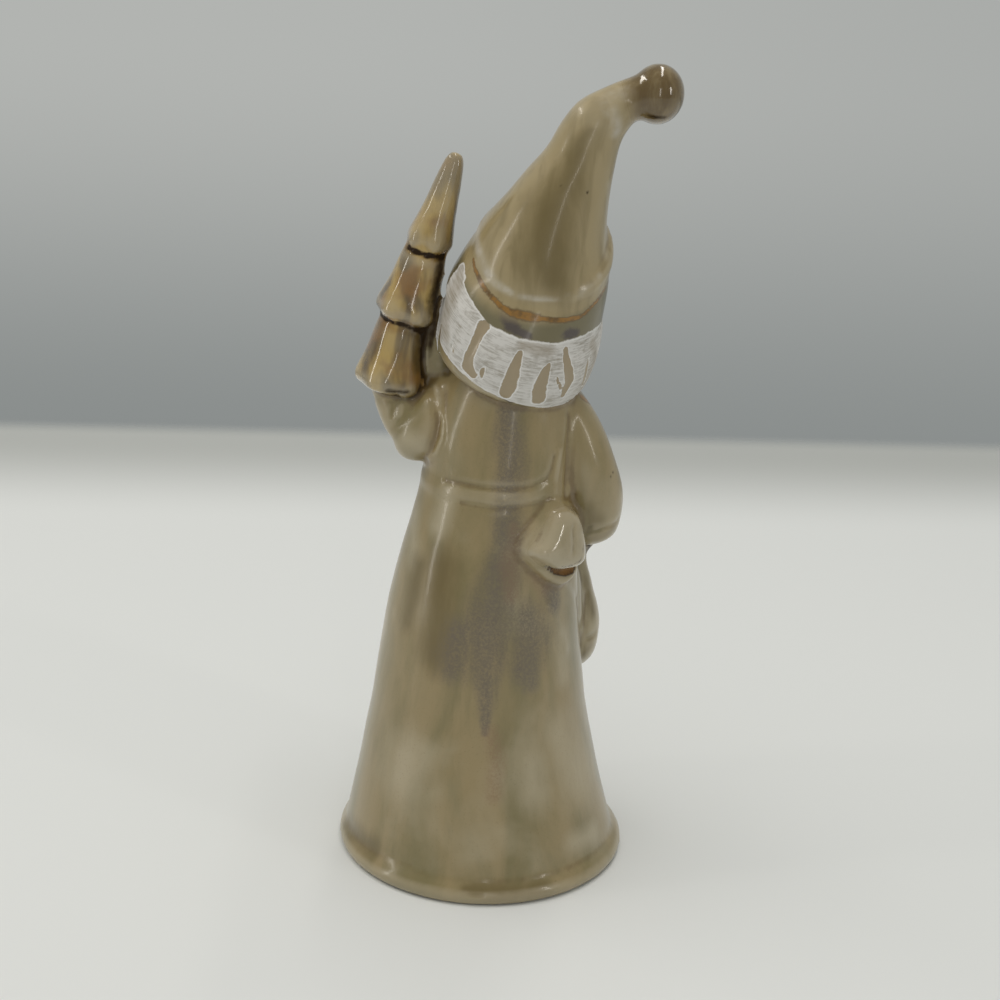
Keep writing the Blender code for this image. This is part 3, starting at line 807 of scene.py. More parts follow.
@dataclass
class Casting:
    """The whole figure, fused from its forms into one hollow casting."""

    voxel: float = 0.82
    smoothing: int = 5
    softness: float = 0.5
    wall: float = 4.5
    base: float = 4.5
    vent_radius: float = 1.75
    vent_offset: float = 14.0
    corner: float = 1.5
    levels: tuple[float, ...] = (7.0, 20.0, 40.0, 60.0, 80.0, 100.0, 115.0, 128.0)

    def build(self, robe: Robe, forms: Sequence[bpy.types.Object]) -> tuple[bpy.types.Object, np.ndarray]:
        """Fuses the forms and hollows the result.

        Args:
            robe: The robe, whose wall the hollow follows.
            forms: All the forms.

        Returns:
            The casting, and the region of each of its points.
        """
        bpy.ops.object.select_all(action="DESELECT")
        for form in forms:
            form.select_set(True)
        bpy.context.view_layer.objects.active = forms[0]
        bpy.ops.object.join()
        figure = bpy.context.object
        figure.name = "glazed_gnome"
        figure.data.name = "glazed_gnome"
        sources, regions = self._sources(figure)
        fuse = figure.modifiers.new("fuse", "REMESH")
        fuse.mode = "VOXEL"
        fuse.voxel_size = self.voxel * MM
        bpy.ops.object.modifier_apply(modifier=fuse.name)
        soften = figure.modifiers.new("soften", "SMOOTH")
        soften.factor = self.softness
        soften.iterations = self.smoothing
        bpy.ops.object.modifier_apply(modifier=soften.name)
        self.hollow(figure, robe)
        points = points_of(figure)
        found = np.array([regions[sources.find_nearest(Vector(point) * MM)[2]] for point in points])
        log.info("casting: %d points, %d faces", len(points), len(figure.data.polygons))
        return figure, found

    def _sources(self, figure: bpy.types.Object) -> tuple[BVHTree, np.ndarray]:
        """Keeps the joined forms for lookups.

        Args:
            figure: The joined forms.

        Returns:
            A tree over their faces, and the region of each face.
        """
        mesh = figure.data
        regions = np.empty(len(mesh.polygons), np.int32)
        mesh.attributes["region"].data.foreach_get("value", regions)
        corners = [vert.co.copy() for vert in mesh.vertices]
        faces = [tuple(face.vertices) for face in mesh.polygons]
        return BVHTree.FromPolygons(corners, faces), regions

    def hollow(self, figure: bpy.types.Object, robe: Robe) -> None:
        """Cuts the cast hollow and the vent through the base as one cutter.

        Args:
            figure: The casting.
            robe: The robe, whose wall the hollow follows.
        """
        vent = Vector((0.0, self.vent_offset, 0.0))
        rings = [Ring(vent + UP * z, self.vent_radius, self.vent_radius) for z in (-self.base, self.base)]
        for height in (self.base, *self.levels):
            centre, width, depth = robe.at(max(height, robe.stations[0][0]))
            centre.z = height
            inset = self.wall + (self.corner if height == self.base else 0.0)
            rings.append(Ring(centre, width - inset, depth - inset))
        cutter = stack("hollow", rings, 24)
        bpy.ops.object.select_all(action="DESELECT")
        figure.select_set(True)
        bpy.context.view_layer.objects.active = figure
        cut = figure.modifiers.new("hollow", "BOOLEAN")
        cut.operation = "DIFFERENCE"
        cut.object = cutter
        cut.solver = "EXACT"
        bpy.ops.object.modifier_apply(modifier=cut.name)
        bpy.data.objects.remove(cutter)


@dataclass(frozen=True)
class Stroke:
    """One pass of a modelling tool over the surface.

    Args:
        path: Points of the pass in millimetres.
        width: Half width of the tool, or one for each point of the path.
        height: How far it raises the surface, or presses it where negative.
    """

    path: tuple[tuple[float, float, float], ...]
    width: float | tuple[float, ...]
    height: float = 0.0

    def reach(self, points: np.ndarray) -> np.ndarray:
        """Measures how far points lie from the pass, in widths of the tool.

        Args:
            points: Points in millimetres.

        Returns:
            Their distances divided by the tool's half width there.
        """
        path = np.array(self.path)
        widths = np.broadcast_to(self.width, len(path))
        best = np.full(len(points), 1e9)
        for k in range(len(path) - 1):
            run = path[k + 1] - path[k]
            t = np.clip((points - path[k]) @ run / (run @ run), 0.0, 1.0)
            gap = np.linalg.norm(points - path[k] - t[:, None] * run, axis=1)
            best = np.minimum(best, gap / (widths[k] + t * (widths[k + 1] - widths[k])))
        return best


class Surface:
    """The casting's skin: its points, normals and neighbours, with the tools that work on them."""

    def __init__(self, figure: bpy.types.Object) -> None:
        """Reads the figure's mesh.

        Args:
            figure: The casting.
        """
        self.figure = figure
        edges = np.empty(len(figure.data.edges) * 2, np.int32)
        figure.data.edges.foreach_get("vertices", edges)
        self.edges = edges.reshape(-1, 2)
        self.count = len(figure.data.vertices)
        ends = np.concatenate([self.edges[:, 0], self.edges[:, 1]])
        self.degree = np.bincount(ends, minlength=self.count).clip(1)
        self.refresh()

    def refresh(self) -> None:
        """Reads the points and normals again after a change."""
        self.points = points_of(self.figure)
        flat = np.empty(self.count * 3)
        self.figure.data.vertex_normals.foreach_get("vector", flat)
        self.normals = flat.reshape(-1, 3)

    def spread(self, values: np.ndarray, rounds: int) -> np.ndarray:
        """Blurs values over the surface.

        Args:
            values: One value or row for each point.
            rounds: How many times each point takes the mean with its neighbours.

        Returns:
            The blurred values.
        """
        rows = values.reshape(self.count, -1).astype(float)
        a, b = self.edges[:, 0], self.edges[:, 1]
        for _ in range(rounds):
            mixed = np.empty_like(rows)
            for k in range(rows.shape[1]):
                total = np.bincount(a, rows[b, k], self.count) + np.bincount(b, rows[a, k], self.count)
                mixed[:, k] = 0.5 * rows[:, k] + 0.5 * total / self.degree
            rows = mixed
        return rows.reshape(values.shape)

    def hollowness(self, rounds: int) -> np.ndarray:
        """How deep each point lies below the surface round it.

        Args:
            rounds: Width of the neighbourhood, in rounds of blur.

        Returns:
            Depths in millimetres, negative on ridges.
        """
        return np.einsum("ij,ij->i", self.spread(self.points, rounds) - self.points, self.normals)

    def push(self, heights: np.ndarray) -> None:
        """Moves the points out along their normals.

        Args:
            heights: How far each point moves, in millimetres.
        """
        set_points(self.figure, self.points + self.normals * heights[:, None])
        self.refresh()

    def work(self, strokes: Sequence[Stroke]) -> None:
        """Raises and presses the surface with a soft round tool.

        Args:
            strokes: The passes.
        """
        heights = np.zeros(self.count)
        for stroke in strokes:
            heights += stroke.height * np.exp(-stroke.reach(self.points) ** 2)
        self.push(heights)

    def near(self, strokes: Sequence[Stroke]) -> np.ndarray:
        """Marks the points under any of the passes.

        Args:
            strokes: The passes.

        Returns:
            1 on the middle of a pass, 0.5 at its edge and 0 at twice its width.
        """
        reach = np.min([stroke.reach(self.points) for stroke in strokes], axis=0)
        return np.clip(1.0 - reach / 2, 0.0, 1.0)

    def keep(self, name: str, values: np.ndarray) -> None:
        """Stores values on the mesh for the glaze.

        Args:
            name: Name of the attribute.
            values: One number or one vector for each point.
        """
        kind, key = ("FLOAT", "value") if values.ndim == 1 else ("FLOAT_VECTOR", "vector")
        layer = self.figure.data.attributes.new(name, kind, "POINT")
        layer.data.foreach_set(key, values.astype(np.float32).ravel())


HAT_LIP = (
    (7.2, 1.2, 177.3), (7.2, 6.3, 174.4), (6.2, 9.8, 171.6), (4.5, 12.7, 168.7), (1.8, 15.2, 165.9),
    (-2.1, 17.1, 163.9), (-8, 18.2, 163), (-14, 17.6, 163), (-20, 15, 164.5), (-24.5, 11, 168),
)
TREE_CREASE = ((26, 0, 171.4), (23.4, 2, 170.4), (20.7, 2.7, 169.8), (17.6, 1.9, 169.2), (15.8, -0.6, 169))
POUCH_SIDE = ((-26.2, 8.8, 98.6), (-25.3, 8.8, 95.6), (-25, 13, 93))


class Tooling:
    """The hand work on the casting: locks, folds, belt grooves and crevices."""

    LOCK_DEPTH = -0.4
    WAVE_SIZE = 13.0
    WAVE_HEIGHT = 0.22
    STEADY_FOOT = 8.0
    LOCKS = (
        Stroke(
            (
                (4.8, 17.4, 155), (6, 17.6, 152.5), (7.1, 17.5, 149.6), (8.2, 17.1, 146.7),
                (8.5, 16.9, 144.2), (6.9, 17.9, 142.1),
            ),
            (1.8, 1.35, 1.3, 1.5, 1.8, 1.1),
        ),
        Stroke(((3.8, 19.4, 145.4), (4.5, 19, 143.4), (4.9, 18.8, 141.3)), (0.3, 0.8, 0.5)),
        Stroke(
            (
                (-5.1, 20.2, 149.1), (-4.2, 20.5, 146.5), (-3.4, 20.6, 143.3), (-2.6, 20.3, 140),
                (-1.9, 19.9, 138.3),
            ),
            (0.8, 1.3, 1.7, 2, 1.7),
        ),
        Stroke(
            (
                (-12.8, 18.8, 145.9), (-11.9, 19.1, 144.1), (-11, 19.2, 141.3), (-10.6, 18.9, 138.8),
                (-10.5, 18.3, 136.6),
            ),
            (0.6, 1.2, 1.7, 1.95, 1.9),
        ),
        Stroke(
            (
                (-16.9, 16.7, 149.7), (-17.3, 16.4, 146.8), (-18, 15.8, 143.9), (-18.4, 14.8, 140.8),
                (-17.5, 14.8, 138.4), (-16.9, 14.5, 136.7),
            ),
            (0.8, 1.1, 1.4, 1.5, 1.1, 0.8),
        ),
        Stroke(((-14.9, 17.6, 142.5), (-15.6, 16.8, 140.5), (-16.6, 15.4, 138.1)), (0.4, 0.55, 0.5)),
        Stroke(((12, 13.4, 150.8), (12.8, 12.7, 148.6), (12.4, 13.3, 146.7)), (0.3, 0.35, 0.5)),
        Stroke(
            ((-23.5, 10, 145.9), (-23, 10, 143.4), (-22.6, 9.1, 140.3), (-22.2, 8.2, 138)),
            (0.5, 0.75, 0.9, 0.6),
        ),
        Stroke(((-22.6, 11.6, 150.7), (-22.3, 11.8, 148.7)), (0.4, 0.35)),
        Stroke(((-24.9, 3.4, 141.8), (-23.6, 4.2, 138.4)), (0.35, 0.6)),
        Stroke(((15.6, 5, 152), (16.4, 4.4, 146.6)), (0.6, 1.4)),
        Stroke(((-24.6, -2.5, 147), (-23.4, -4, 140)), (0.6, 1.6)),
    )
    BELT_GROOVES = (
        Stroke(
            (
                (13.2, 14.7, 112.2), (6.7, 18.9, 112.4), (1.1, 20.4, 112.2), (-4.4, 20.4, 112.2),
                (-9.1, 19.2, 112.6), (-13.8, 16.7, 114.1), (-14.9, 15.7, 116.4), (-15.5, 14.9, 120.3),
            ),
            (0.9, 0.8, 0.7, 0.7, 0.7, 0.7, 0.7, 0.5),
            -0.5,
        ),
        Stroke(
            (
                (8.9, 18.8, 107.5), (0.9, 21.3, 107), (-5.4, 21, 107.2), (-10.9, 19.2, 108.1),
                (-14.8, 16.9, 109.2),
            ),
            0.8,
            -0.35,
        ),
    )
    FOLDS = (
        Stroke(
            (
                (-19.8, 11.4, 136.7), (-19, 9.6, 129.6), (-18.8, 11.5, 122.7), (-19, 11.8, 115.3),
                (-19.1, 12.8, 108),
            ),
            (0.8, 1, 1, 0.9, 0.8),
            -0.45,
        ),
        Stroke(
            (
                (-17, 13.5, 121.6), (-16.3, 14.7, 115.2), (-16.2, 15.5, 110.5), (-18.5, 16.1, 106.6),
            ),
            (0.7, 1, 1.1, 1.1),
            0.35,
        ),
        Stroke(
            (
                (16.9, 4.5, 134.8), (15.3, 8, 131.7), (14.2, 10.7, 126.8), (14.3, 11.9, 123),
                (15.6, 11.1, 118.9), (17.6, 8.1, 116.2),
            ),
            0.9,
            0.45,
        ),
        Stroke(
            (
                (18.8, 4.5, 134), (17.2, 7.6, 131), (16.2, 9.8, 126.8), (16.5, 10.4, 123), (17.6, 9.4, 119.4),
            ),
            1.1,
            -0.3,
        ),
        Stroke(((19.4, 1.4, 144.6), (19.1, 0.9, 138.8), (20.5, 1.8, 134.4)), 0.8, 0.7),
        Stroke(((25.3, 5.2, 132.6), (26.1, 5.7, 127.3)), 0.9, 0.35),
        Stroke(((27.4, 4.9, 131.6), (28.1, 4.6, 126.3)), 0.9, -0.3),
        Stroke(((-15.8, 18.8, 79.1), (-18.4, 17, 72.7), (-21.1, 14.7, 65.4)), 2.0, 0.3),
        Stroke(((-21.6, 10.3, 83.7), (-24.8, -0.5, 70.8), (-27.1, -5.8, 58.5)), 1.6, -0.3),
        Stroke(((-25.9, 8.3, 96.7), (-28.1, 8.1, 97.3), (-30.8, 7.2, 98.2), (-33.9, 4, 99.2)), 0.6, -0.45),
        Stroke(((-28.9, -7.4, 59.5), (-31.2, -10.3, 59.4)), 0.9, -0.9),
        Stroke(TREE_CREASE, 0.9, -0.5),
        Stroke(((-27.2, -11.3, 71.7), (-27.2, -7.6, 65.5), (-27.9, -6.5, 60.3)), 1.0, -0.4),
        Stroke(((-21.5, 15.4, 105.2), (-21.3, 19.7, 101.5), (-21.6, 20.5, 95.2)), 0.5, -0.4),
        Stroke(POUCH_SIDE, 0.6, -0.6),
        Stroke(
            ((37.4, 11, 6.6), (33.1, 20.6, 7), (26.5, 28.5, 7.8), (18.4, 34.3, 8)),
            (2, 2, 1.8, 1.2),
            -0.2,
        ),
    )
    SLIT = Stroke(
        (
            (-14.9, 22.4, 91.6), (-17.5, 19.3, 89.6), (-19.9, 16.8, 88.6), (-22.2, 14.9, 88.6),
            (-24, 15.6, 90.6),
        ),
        (0.5, 0.8, 0.95, 0.95, 0.7),
        -1.0,
    )

    def __init__(self, surface: Surface) -> None:
        """Takes up the surface.

        Args:
            surface: The casting's skin.
        """
        self.surface = surface

    def apply(self) -> None:
        """Makes every pass, then gives the casting a slight unevenness."""
        locks = [Stroke(lock.path, lock.width, self.LOCK_DEPTH) for lock in self.LOCKS]
        passes = [*locks, *self.BELT_GROOVES, *self.FOLDS, self.SLIT]
        self.surface.work(passes)
        waves = np.array([noise.noise(Vector(point) / self.WAVE_SIZE) for point in self.surface.points])
        above_foot = np.clip(self.surface.points[:, 2] / self.STEADY_FOOT, 0.0, 1.0)
        self.surface.push(self.WAVE_HEIGHT * waves * above_foot)
        log.info("tooled with %d passes", len(passes))


class GlazeMap:
    """Where each glaze lies, and where highlights and shade are painted, worked out from the surface and kept
    on the mesh.
    """

    AMBER = (
        Stroke(
            (
                (8, 7.6, 170.3), (7.5, 9.5, 168.3), (6.2, 11.9, 166.1), (4.5, 13.9, 163.9), (2.4, 15.6, 162),
                (0.4, 16.8, 160.4), (-1.3, 17.5, 159.5), (-3.1, 18, 158.9), (-5.4, 18.3, 158.7),
                (-7.7, 18.5, 158.2), (-10.1, 18.4, 157.9), (-12.4, 18, 157.7), (-14.7, 17.4, 157.5),
                (-17.4, 16.3, 157.6), (-19.7, 15, 157.9), (-21.3, 13.9, 158.7), (-23.2, 12.1, 160.4),
                (-25.1, 9.8, 162.3), (-26.6, 7.1, 164.6), (-27.6, 2, 166),
            ),
            (.3, .45, .55, .6, .55, .5, .65, 1.05, 1.1, 1, .6, .55, .5, .55, .55, .45, .45, .45, .4, .3),
        ),
        Stroke(((-22.4, 2.8, 133.6), (-24.4, 0.4, 131)), 0.9),
    )
    # Mostly painted shade in the crevices round the tree, the hair locks, the hat, the pouch and the sack,
    # and under the bobble; a few are tiny real specks.
    CREVICE_SHADE_AND_SPECKS = (
        Stroke(((-34.8, 9.3, 208.9), (-39, 8.9, 208.7)), 0.6),
        Stroke(((-31.7, 5.9, 113.9), (-31.6, 6.1, 113.5)), 0.3),
        Stroke(((-31.1, 7.1, 112.8), (-31, 7.2, 112.5)), 0.25),
        Stroke(((-13.3, 14.4, 191.6), (-13.4, 14.4, 191.3)), 0.3),
        Stroke(((-20.3, 13.7, 189.8), (-20.4, 13.7, 189.5)), 0.25),
        Stroke(((29.6, 6.1, 133.8), (27, 6, 133.4), (24, 5.2, 133.4)), 0.6),
        Stroke(((18.2, 1.6, 156), (16.4, 0.4, 168)), (2.4, 1.4)),
        Stroke(((20.4, 0.8, 151.5), (20.9, 2, 142)), (2.2, 0.8)),
        Stroke(TREE_CREASE, 0.4),
        Stroke(((-27.5, -13, 86), (-27.5, -16, 83.2)), 1.2),
        Stroke(((17.4, 0.5, 158), (17.8, 1.4, 151), (18.6, 1.6, 146), (19.2, 1, 138)), (0.9, 1.2, 0.7, 0.3)),
        Stroke(((-0.5, 19.6, 137.5), (-2.1, 19.4, 136.5), (-3.3, 18.9, 135.6)), 0.6),
        Stroke(((-9.5, 18.5, 136.1), (-10.9, 17.9, 135.6), (-12.4, 17.3, 135.7)), 0.4),
        Stroke(((-15.6, 15.5, 136.5), (-16.8, 14.7, 136.2), (-18.2, 13, 135.6)), 0.5),
        Stroke(((-18.7, 22.1, 91.9), (-21.4, 19.9, 91.7), (-23.6, 18.2, 92.4), (-24.3, 17.3, 96.1)), 0.3),
        Stroke(POUCH_SIDE[:2], 0.4),
        Stroke(((11.3, 2, 168), (13.4, 5, 163)), 0.6),
    )
    BLOOM = (
        Stroke(
            (
                (-2.6, 17.2, 134.3), (-3.7, 18.1, 128.1), (-4.4, 19.2, 120.3), (-3.6, 20.5, 112.4),
                (-3.9, 21.4, 105.2), (-5, 23.1, 97.5),
            ),
            (2, 3.4, 3.8, 3.4, 3, 3.6),
        ),
        Stroke(
            (
                (-3.3, 23.3, 91.8), (-2, 24.7, 83.5), (0, 26.2, 74.2), (0.5, 27.4, 65.8), (-0.3, 28.6, 57.3),
                (-0.3, 30.3, 46.3),
            ),
            (4.2, 5.5, 6.5, 4.5, 2.2, 0.9),
        ),
        Stroke(
            (
                (-10.5, 22.7, 77.8), (-11.7, 23, 70.8), (-11.2, 24.3, 64.1), (-12.2, 24.5, 58.8),
            ),
            (4.5, 5.4, 4.5, 2.5),
        ),
        Stroke(((7.5, 25.7, 73.7), (8.9, 26.3, 67.6), (9.5, 26.9, 62.4)), (4, 5, 3.5)),
        Stroke(((-16.1, 18.1, 84.2), (-17.1, 17.5, 79.5)), 2.6),
        Stroke(((-2.2, 17, 134), (-4.2, 17.1, 133.5), (-6.5, 17, 133.8)), 1.4),
        Stroke(
            (
                (-0.6, 17.4, 159.4), (-1.6, 17.9, 158.2), (-2.5, 18.8, 155.7), (-4.8, 19.3, 154.5),
                (-7.2, 19.4, 153.5),
            ),
            (1.5, 1.6, 1.4, 1.1, 0.8),
        ),
        Stroke(((-17, 16.4, 153.8), (-19, 15.2, 153.8)), 1.2),
    )
    ROSE = (
        Stroke(
            ((-5.4, 21.6, 102.4), (-6, 23.6, 98.5), (-5, 22.9, 92.5), (-5.8, 23.9, 83.5)),
            (1.2, 1.8, 2.4, 1.8),
        ),
        Stroke(((-11.8, 20.9, 88.3), (-14.7, 19.2, 84)), 1.6),
        Stroke(((-2, 30.1, 46.2), (-3.9, 31, 39.4), (-3.5, 33.3, 29.4)), 2.0),
    )
    # Partly painted highlights: the pale band inside the hat's lip, the hat's bright right edge and the lit
    # left side of the robe; the rest are pale patches of glaze.
    PALE_GLAZE_AND_HIGHLIGHT = (
        Stroke(HAT_LIP[:6], (1.4, 1.8, 2, 1.8, 1.4, 0.6)),
        Stroke(((-25.7, 8.5, 191.3), (-26.1, 4.9, 180.9), (-26.2, 7.4, 172.9)), 1.3),
        Stroke(((21.4, 25.5, 35.5), (22, 26.3, 30.2)), 7.0),
        Stroke(((-13.3, 28.2, 36.6), (-14.4, 29.3, 29.8)), 6.0),
        Stroke(((-20.6, 20.8, 42.7), (-26.6, 18, 28.3)), (6, 8)),
        Stroke(((12.5, 16.5, 108), (14.5, 16, 100)), 3.0),
        Stroke(((-26, 25.5, 12), (-32, 18, 11)), 3.2),
        Stroke(((-19.5, 15.5, 70), (-20.5, 15.8, 58)), 3.5),
        Stroke(((21.3, 6.7, 99), (21.3, 10.2, 93.3), (20.6, 13.3, 89.3)), 3.4),
        Stroke(((22.9, 8.5, 121), (20.6, 9, 119.6)), 2.4),
    )
    # Partly painted shade: the hat's dark middle, the hem groove, under the right sleeve and the hair band,
    # and beside the pouch; the rest are darker patches of glaze.
    DARK_GLAZE_AND_SHADE = (
        Stroke(
            (
                (-20, 11.8, 205), (-18.1, 12.8, 201.8), (-15.8, 14, 193.8), (-11.5, 16.3, 183.7),
                (-10.6, 17.7, 174.3), (-12.2, 17.9, 168.2),
            ),
            (1.5, 2.4, 4.2, 6.4, 7, 4.6),
        ),
        Stroke(((2.9, 40.4, 4.4), (-7.2, 40.7, 3.5), (-18.2, 36.7, 3.2)), (1.6, 3.6, 2.8)),
        Stroke(((39, 8, 6), (35.4, 16, 7), (29.5, 24.5, 8)), 3.4),
        Stroke(((19.5, 15.5, 88), (21, 16, 72)), 3.6),
        Stroke(((-25.5, 12.5, 104), (-28.5, 10.5, 100.5)), 2.4),
        Stroke(((-28.5, -12, 76), (-29.5, -11, 66)), 2.0),
        Stroke(((-29, -9, 57), (-27, -7, 54)), 1.8),
        Stroke(((11.1, 14.6, 141.8), (8.6, 16, 139), (5.4, 15.6, 137), (1.8, 17.6, 136.2)), 1.3),
        Stroke(((-26.9, 7.5, 94.6), (-30.1, 6.6, 95.2), (-32.8, 4.9, 96.8)), 1.2),
        Stroke(((13, 20.8, 90), (13.5, 20.8, 82), (14, 22.5, 66)), 5.0),
    )
    # Milky glaze at the bend; along the neck's top and inside the hat's lip these are painted highlights.
    MILKY_GLAZE_AND_HIGHLIGHT = (
        Stroke(((-24.5, 10.1, 211.2), (-26.8, 10.5, 205.3)), 1.6),
        Stroke(((-31, 8, 215), (-26, 7.5, 213), (-21, 7, 209), (-16, 7, 202)), (1.2, 1.8, 1.8, 1)),
        Stroke(HAT_LIP, (0.8, 1, 1.1, 1.1, 0.9, 0.8, 0.6, 0.6, 0.8, 0.8)),
    )
    THIN = (
        Stroke(
            (
                (11.3, 5.2, 167.3), (11.3, 7.4, 164.9), (13.8, 8.1, 159.4), (15.2, 6.9, 153.5),
                (14.2, 10.3, 150.3),
            ),
            (1.6, 2, 2.4, 3, 1.4),
        ),
        Stroke(((-23.8, 9, 150), (-24.4, 5, 144), (-22.4, 8.4, 138.4)), (1.2, 1.6, 1.8)),
        Stroke(((-6, 19.9, 151), (-12.6, 18.9, 149.6)), 1.3),
    )

    TOP_EDGE = (
        (-27.0, 155.2), (-25.7, 154.2), (-20.8, 152.8), (-14.6, 151.6),
        (-4.9, 152.8), (3.3, 155.6), (8.7, 161.6), (11.5, 166.5),
    )
    LOW_EDGE = (143.8, 0.40, -0.36)
    EDGE_SOFTNESS = 4.0
    CAP_EDGE = (171.0, 0.07, -0.72)
    CAP_SOFTNESS = 2.5
    BACK_FROM = 3.0
    FINE_ROUNDS = 6
    WIDE_ROUNDS = 40
    FINE_DEPTH = 0.10
    WIDE_DEPTH = 0.9
    WIDE_RIDGE = 1.6

    def __init__(self, surface: Surface, regions: np.ndarray) -> None:
        """Takes up the surface.

        Args:
            surface: The casting's skin.
            regions: The region of each point.
        """
        self.surface = surface
        self.regions = regions

    def apply(self) -> None:
        """Stores every mask on the mesh."""
        surface = self.surface
        surface.keep("slip", self._slip())
        surface.keep("hat", self._mask(8, Region.HAT))
        surface.keep("tree", self._mask(6, Region.TREE))
        surface.keep("cap", self._cap())
        surface.keep("flap", self._mask(3, Region.FLAP))
        surface.keep("sack", self._mask(8, Region.SACK))
        fine, wide = surface.hollowness(self.FINE_ROUNDS), surface.hollowness(self.WIDE_ROUNDS)
        # Hollows where the glaze pools; the deepest are also painted near black as shade.
        pool_and_crevice_shade = np.clip(fine / self.FINE_DEPTH + wide / self.WIDE_DEPTH, -0.2, 1.5)
        surface.keep("pool_and_crevice_shade", surface.spread(pool_and_crevice_shade, 2))
        ridge = np.clip(-fine / self.FINE_DEPTH - wide / self.WIDE_RIDGE, 0.0, 1.5)
        surface.keep("ridge", surface.spread(ridge, 2))
        surface.keep("bare", surface.near(Tooling.LOCKS))
        surface.keep("slit", surface.near([Tooling.SLIT]))
        for name, strokes in (
            ("amber", self.AMBER),
            ("dark", self.CREVICE_SHADE_AND_SPECKS),
            ("bloom", self.BLOOM),
            ("rose", self.ROSE),
            ("pale", self.PALE_GLAZE_AND_HIGHLIGHT),
            ("dark_glaze_and_shade", self.DARK_GLAZE_AND_SHADE),
            ("milky", self.MILKY_GLAZE_AND_HIGHLIGHT),
            ("thin", self.THIN),
        ):
            surface.keep(name, surface.near(strokes))
        hat = Hat()
        from_tip = np.linalg.norm(surface.points - np.array(hat.tip), axis=1)
        surface.keep("tip", np.clip(3.0 - 2.0 * from_tip / hat.bobble_radius, 0.0, 1.0))
        surface.keep("brush", self._brush())

    def _over(self, edge: Sequence[float]) -> np.ndarray:
        """Height of each point over a slanting plane.

        Args:
            edge: The plane's height at the axis, and its slopes along X and Y.

        Returns:
            Heights in millimetres.
        """
        points = self.surface.points
        return points[:, 2] - edge[0] - edge[1] * points[:, 0] - edge[2] * points[:, 1]

    def _slip(self) -> np.ndarray:
        """White slip on the hair band between its two edges, and on the beard and brows.

        Returns:
            Over 0.5 where there is slip.
        """
        marked = self._mask(3, Region.SLIP)
        points = self.surface.points
        below = np.interp(points[:, 0], *np.array(self.TOP_EDGE).T) - points[:, 2]
        band = np.minimum(below, self._over(self.LOW_EDGE)) / self.EDGE_SOFTNESS + 0.5
        band = np.maximum(band, self.surface.near(self.THIN))
        near_head = self._mask(3, Region.SLIP) + self._mask(3, Region.HAT) + self._mask(3, Region.SKIN)
        behind = points[:, 1] > self.BACK_FROM
        return np.where(behind & (near_head > 0.5), np.clip(band, 0.0, 1.0), marked)

    def _cap(self) -> np.ndarray:
        """The band between the amber line and the hair.

        Returns:
            1 on the band, falling to 0 above the line.
        """
        above = self._over(self.CAP_EDGE) / self.CAP_SOFTNESS
        return np.clip(0.5 - above, 0.0, 1.0) * self._mask(4, Region.HAT)

    def _mask(self, rounds: int, region: Region) -> np.ndarray:
        """Softens one region into a mask.

        Args:
            rounds: Rounds of blur over its edge.
            region: The region.

        Returns:
            1 well inside the region and 0 well outside.
        """
        return self.surface.spread((self.regions == region.value).astype(float), rounds)

    def _brush(self) -> np.ndarray:
        """Coordinates that run along the brush: round the head, and up it.

        Returns:
            One vector for each point, in millimetres.
        """
        head = Head()
        axis = np.array(leaning([(0, 0, 0, 1, head.back_lean, head.side_lean)])[0].axis)
        side = np.cross([0.0, 1.0, 0.0], axis)
        side /= np.linalg.norm(side)
        depth = np.cross(axis, side)
        offset = self.surface.points - np.array([head.centre.x, 0.6, head.hair_height])
        angle = np.arctan2(offset @ depth, offset @ side)
        rows = [np.sin(angle) * head.hair_radius, np.cos(angle) * head.hair_radius, offset @ axis]
        return np.stack(rows, axis=1)


def linear(code: str) -> tuple[float, float, float, float]:
    """Turns an sRGB colour into the linear values that shaders take.

    Args:
        code: The colour as #RRGGBB.

    Returns:
        Linear red, green and blue, and 1.
    """
    parts = [int(code[i : i + 2], 16) / 255 for i in (1, 3, 5)]
    values = [part / 12.92 if part <= 0.04045 else ((part + 0.055) / 1.055) ** 2.4 for part in parts]
    return (*values, 1.0)


